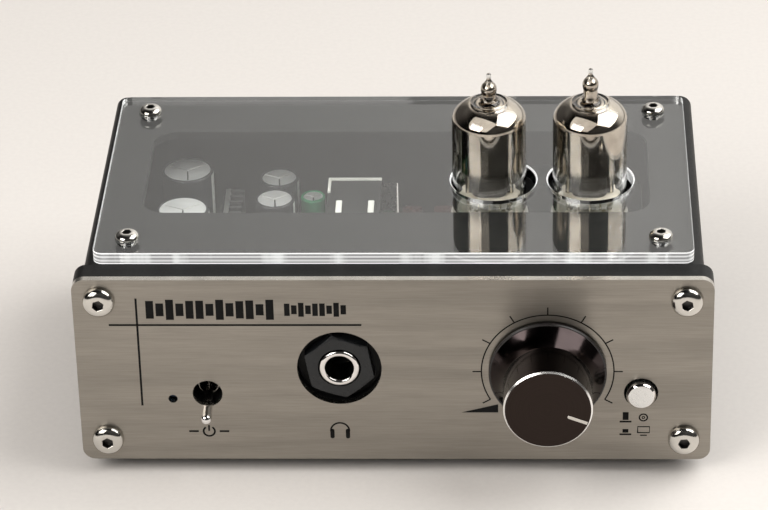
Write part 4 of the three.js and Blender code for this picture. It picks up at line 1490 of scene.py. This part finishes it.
def line_in(side, ring_color):
    """A phono jack: plated shell, coloured insulator and a centre contact."""
    node = f"line_in_{side}"
    low, high, middle = box_of(node)
    x, z = middle.x, high.z - LINE_IN_DROP
    centre = Vector((x, 0, z))
    end = high.y
    housing = slab("housing", low, (high.x, rear_low.y - 0.1 * MM, high.z), edge=0.4 * MM)
    shell = [(4.15 * MM, rear_low.y - 0.5 * MM), (4.15 * MM, end - 0.3 * MM), (3.95 * MM, end)]
    shell += [(3.75 * MM, end), (3.6 * MM, end - 0.3 * MM), (3.6 * MM, rear_low.y - 0.5 * MM)]
    insulator = [(3.58 * MM, rear_low.y), (3.58 * MM, end - 0.9 * MM), (3.4 * MM, end - 0.7 * MM)]
    insulator += [(2.45 * MM, end - 0.7 * MM), (2.4 * MM, end - 0.9 * MM), (2.4 * MM, rear_low.y)]
    contact = [(2.3 * MM, rear_low.y), (2.3 * MM, end - 0.6 * MM), (2.1 * MM, end - 0.4 * MM)]
    contact += [(1.75 * MM, end - 0.4 * MM), (1.6 * MM, end - 0.6 * MM), (1.6 * MM, rear_low.y)]
    plug_end = rear_high.y + 1.5 * MM
    plug = [(0, rear_low.y), (1.6 * MM, rear_low.y), (1.6 * MM, plug_end), (0, plug_end)]
    parts = [
        paint(housing, PLASTIC),
        paint(turned("shell", shell, centre, "y"), NICKEL),
        paint(turned("insulator", insulator, centre, "y"), ring_color),
        paint(turned("contact", contact, centre, "y"), NICKEL),
        paint(turned("plug", plug, centre, "y", 32), PLASTIC),
    ]
    return settle(merge(f"phono_jack_{side}", parts), "nickel_steel", node)


def usb_socket():
    low, high, middle = box_of("usb_socket")
    shell = slab("shell", low, high, edge=0.35 * MM)
    half = (4.25 * MM, 3.9 * MM)
    mouth_low = (middle.x - half[0], middle.z - half[1])
    mouth_high = (middle.x + half[0], middle.z + half[1])
    x0, z0, x1, z1 = *mouth_low, *mouth_high
    clip = 1.6 * MM
    outline = [(x0, z0), (x1, z0), (x1, z1 - clip), (x1 - clip, z1), (x0 + clip, z1), (x0, z1 - clip)]
    combine(shell, [prism("mouth", outline, high.y - 8.5 * MM, high.y + MM, "y")])
    tongue_low = Vector((middle.x - 2.8 * MM, high.y - 8.8 * MM, middle.z - 1.6 * MM))
    tongue_high = Vector((middle.x + 2.8 * MM, high.y - 1.2 * MM, middle.z + 1.6 * MM))
    parts = [
        paint(smooth(round_edges(shell, 0.08 * MM, 1, 60)), NICKEL),
        paint(slab("tongue", tongue_low, tongue_high, edge=0.3 * MM), WHITE_PLASTIC),
    ]
    for dx in (-1.25, 1.25):
        for face in (tongue_low.z - 0.05 * MM, tongue_high.z - 0.15 * MM):
            start = Vector((middle.x + (dx - 0.5) * MM, tongue_low.y, face))
            end = start + Vector((MM, 6.6 * MM, 0.2 * MM))
            parts.append(paint(slab("contact", start, end), GOLD))
    return settle(merge("square_socket", parts), "nickel_steel", "usb_socket")


def power_inlet():
    low, high, middle = box_of("power_inlet")
    x, z = middle.x, high.z - INLET_DROP
    centre = Vector((x, 0, z))
    housing = slab("housing", low, (high.x, rear_low.y - 0.1 * MM, high.z), edge=0.4 * MM)
    end = high.y
    nose = [(3.15 * MM, end - 10 * MM), (3.15 * MM, end - 0.3 * MM), (3.4 * MM, end)]
    nose += [(4.3 * MM, end), (4.5 * MM, end - 0.2 * MM), (4.5 * MM, end - 4 * MM)]
    sleeve_in = turned("nose", nose, centre, "y")
    pin = [(0, end - 9 * MM), (1.05 * MM, end - 9 * MM), (1.05 * MM, end - 2 * MM)]
    pin += arc((0.45 * MM, end - 2 * MM), 0.6 * MM, 0, 80, 5) + [(0, end - 1.4 * MM)]
    parts = [
        paint(housing, PLASTIC),
        paint(sleeve_in, PLASTIC),
        paint(turned("pin", pin, centre, "y", 32), NICKEL),
    ]
    combine(parts[0], [cylinder("bore", x, z, 3.15 * MM, end - 9.5 * MM, end, "y", 48)])
    return settle(merge("dc_inlet", parts), "black_plastic", "power_inlet")


line_in("left", WHITE_PLASTIC)
line_in("right", RED_PLASTIC)
usb_socket()
power_inlet()


# ---------------------------------------------------------------- floor, light and camera


def floor():
    size = 6.0
    corners = [(x, y, 0) for x, y in rectangle(-size, -size, size, size)]
    made = new_object("floor", corners, [(0, 1, 2, 3)])
    material = principled("floor_paper", (0.665, 0.637, 0.611), 0.75, 0.0, Specular_IOR_Level=0.15)
    fine = grain(material, 700, detail=4)
    tone = two_tone(material, fine, (0.655, 0.627, 0.602), (0.675, 0.647, 0.620))
    feed(material, tone, "Base Color")
    paint(made, material)


def softbox(name, direction, distance, width, height, power, target, color=(1, 1, 1)):
    """A rectangular soft light, facing the object from a direction."""
    data = bpy.data.lights.new(name, "AREA")
    data.shape = "RECTANGLE"
    data.size = width
    data.size_y = height
    data.energy = power
    data.color = color
    made = bpy.data.objects.new(name, data)
    bpy.context.scene.collection.objects.link(made)
    aim = Vector(direction).normalized()
    made.location = target + aim * distance
    made.rotation_euler = aim.to_track_quat("Z", "Y").to_euler()
    return made


def surroundings():
    """A pale room behind the object, darker towards the camera, and pale where the camera sees it."""
    world = bpy.data.worlds.new("studio")
    bpy.context.scene.world = world
    world.use_nodes = True
    place = add_node(world, "TexCoord")
    split = add_node(world, "SeparateXYZ")
    link(world, place.outputs["Generated"], split.inputs["Vector"])
    depth = remap(world, split.outputs["Y"], 0.06, 1.2, 0.0, 0.8, interpolation_type="SMOOTHSTEP")
    across = remap(world, split.outputs["X"], 0.15, 1.55, -0.4, 0.15)
    tones = ((0.0, 0.6), (0.44, 0.66), (0.56, 0.93), (0.64, 0.9), (0.8, 0.25), (1.0, 0.2))
    height = greys(world, split.outputs["Z"], tones)
    glow = reckon(world, "MULTIPLY", reckon(world, "MULTIPLY", depth, across), height)
    path = add_node(world, "LightPath")
    seen = add_node(world, "Mix")
    link(world, path.outputs["Is Camera Ray"], seen.inputs["Factor"])
    link(world, glow, seen.inputs["A"])
    seen.inputs["B"].default_value = 0.85
    background = world.node_tree.nodes["Background"]
    link(world, seen.outputs["Result"], background.inputs["Strength"])
    background.inputs["Color"].default_value = (1.0, 0.97, 0.93, 1)


def lights():
    target = Vector((0, 0, 0.03))
    softbox("key_right", (0.62, 0.08, 0.77), 0.95, 1.0, 0.75, 10.0, target, (1.0, 0.985, 0.96))
    softbox("fill_left", (-0.587, -0.558, 0.583), 0.9, 0.55, 0.5, 4.4, target, (1.0, 0.975, 0.94))
    bounce = softbox("bounce", (-0.35, -0.45, 0.82), 1.2, 1.5, 1.5, 8.8, target, (1.0, 0.965, 0.93))
    bounce.visible_glossy = False


def camera():
    """A long lens from the front and above: yaw and pitch of its axis, and roll about it, in degrees."""
    yaw, pitch, roll = 2.69, -30.66, -1.43
    right, back, up = 31.904 * MM, 712.83 * MM, 479.805 * MM  # from the lower edge of the panel's face
    data = bpy.data.cameras.new("camera")
    data.sensor_width = 36
    data.lens = 168.04
    data.clip_start = 0.05
    made = bpy.data.objects.new("camera", data)
    bpy.context.scene.collection.objects.link(made)
    place = Matrix.Translation((right, panel_low.y - back, panel_low.z + up))
    turn = Matrix.Rotation(math.radians(yaw), 4, "Z") @ Matrix.Rotation(math.radians(90 + pitch), 4, "X")
    made.matrix_world = place @ turn @ Matrix.Rotation(math.radians(roll), 4, "Z")
    bpy.context.scene.camera = made


floor()
surroundings()
lights()
camera()
bpy.context.scene.view_settings.view_transform = "Standard"
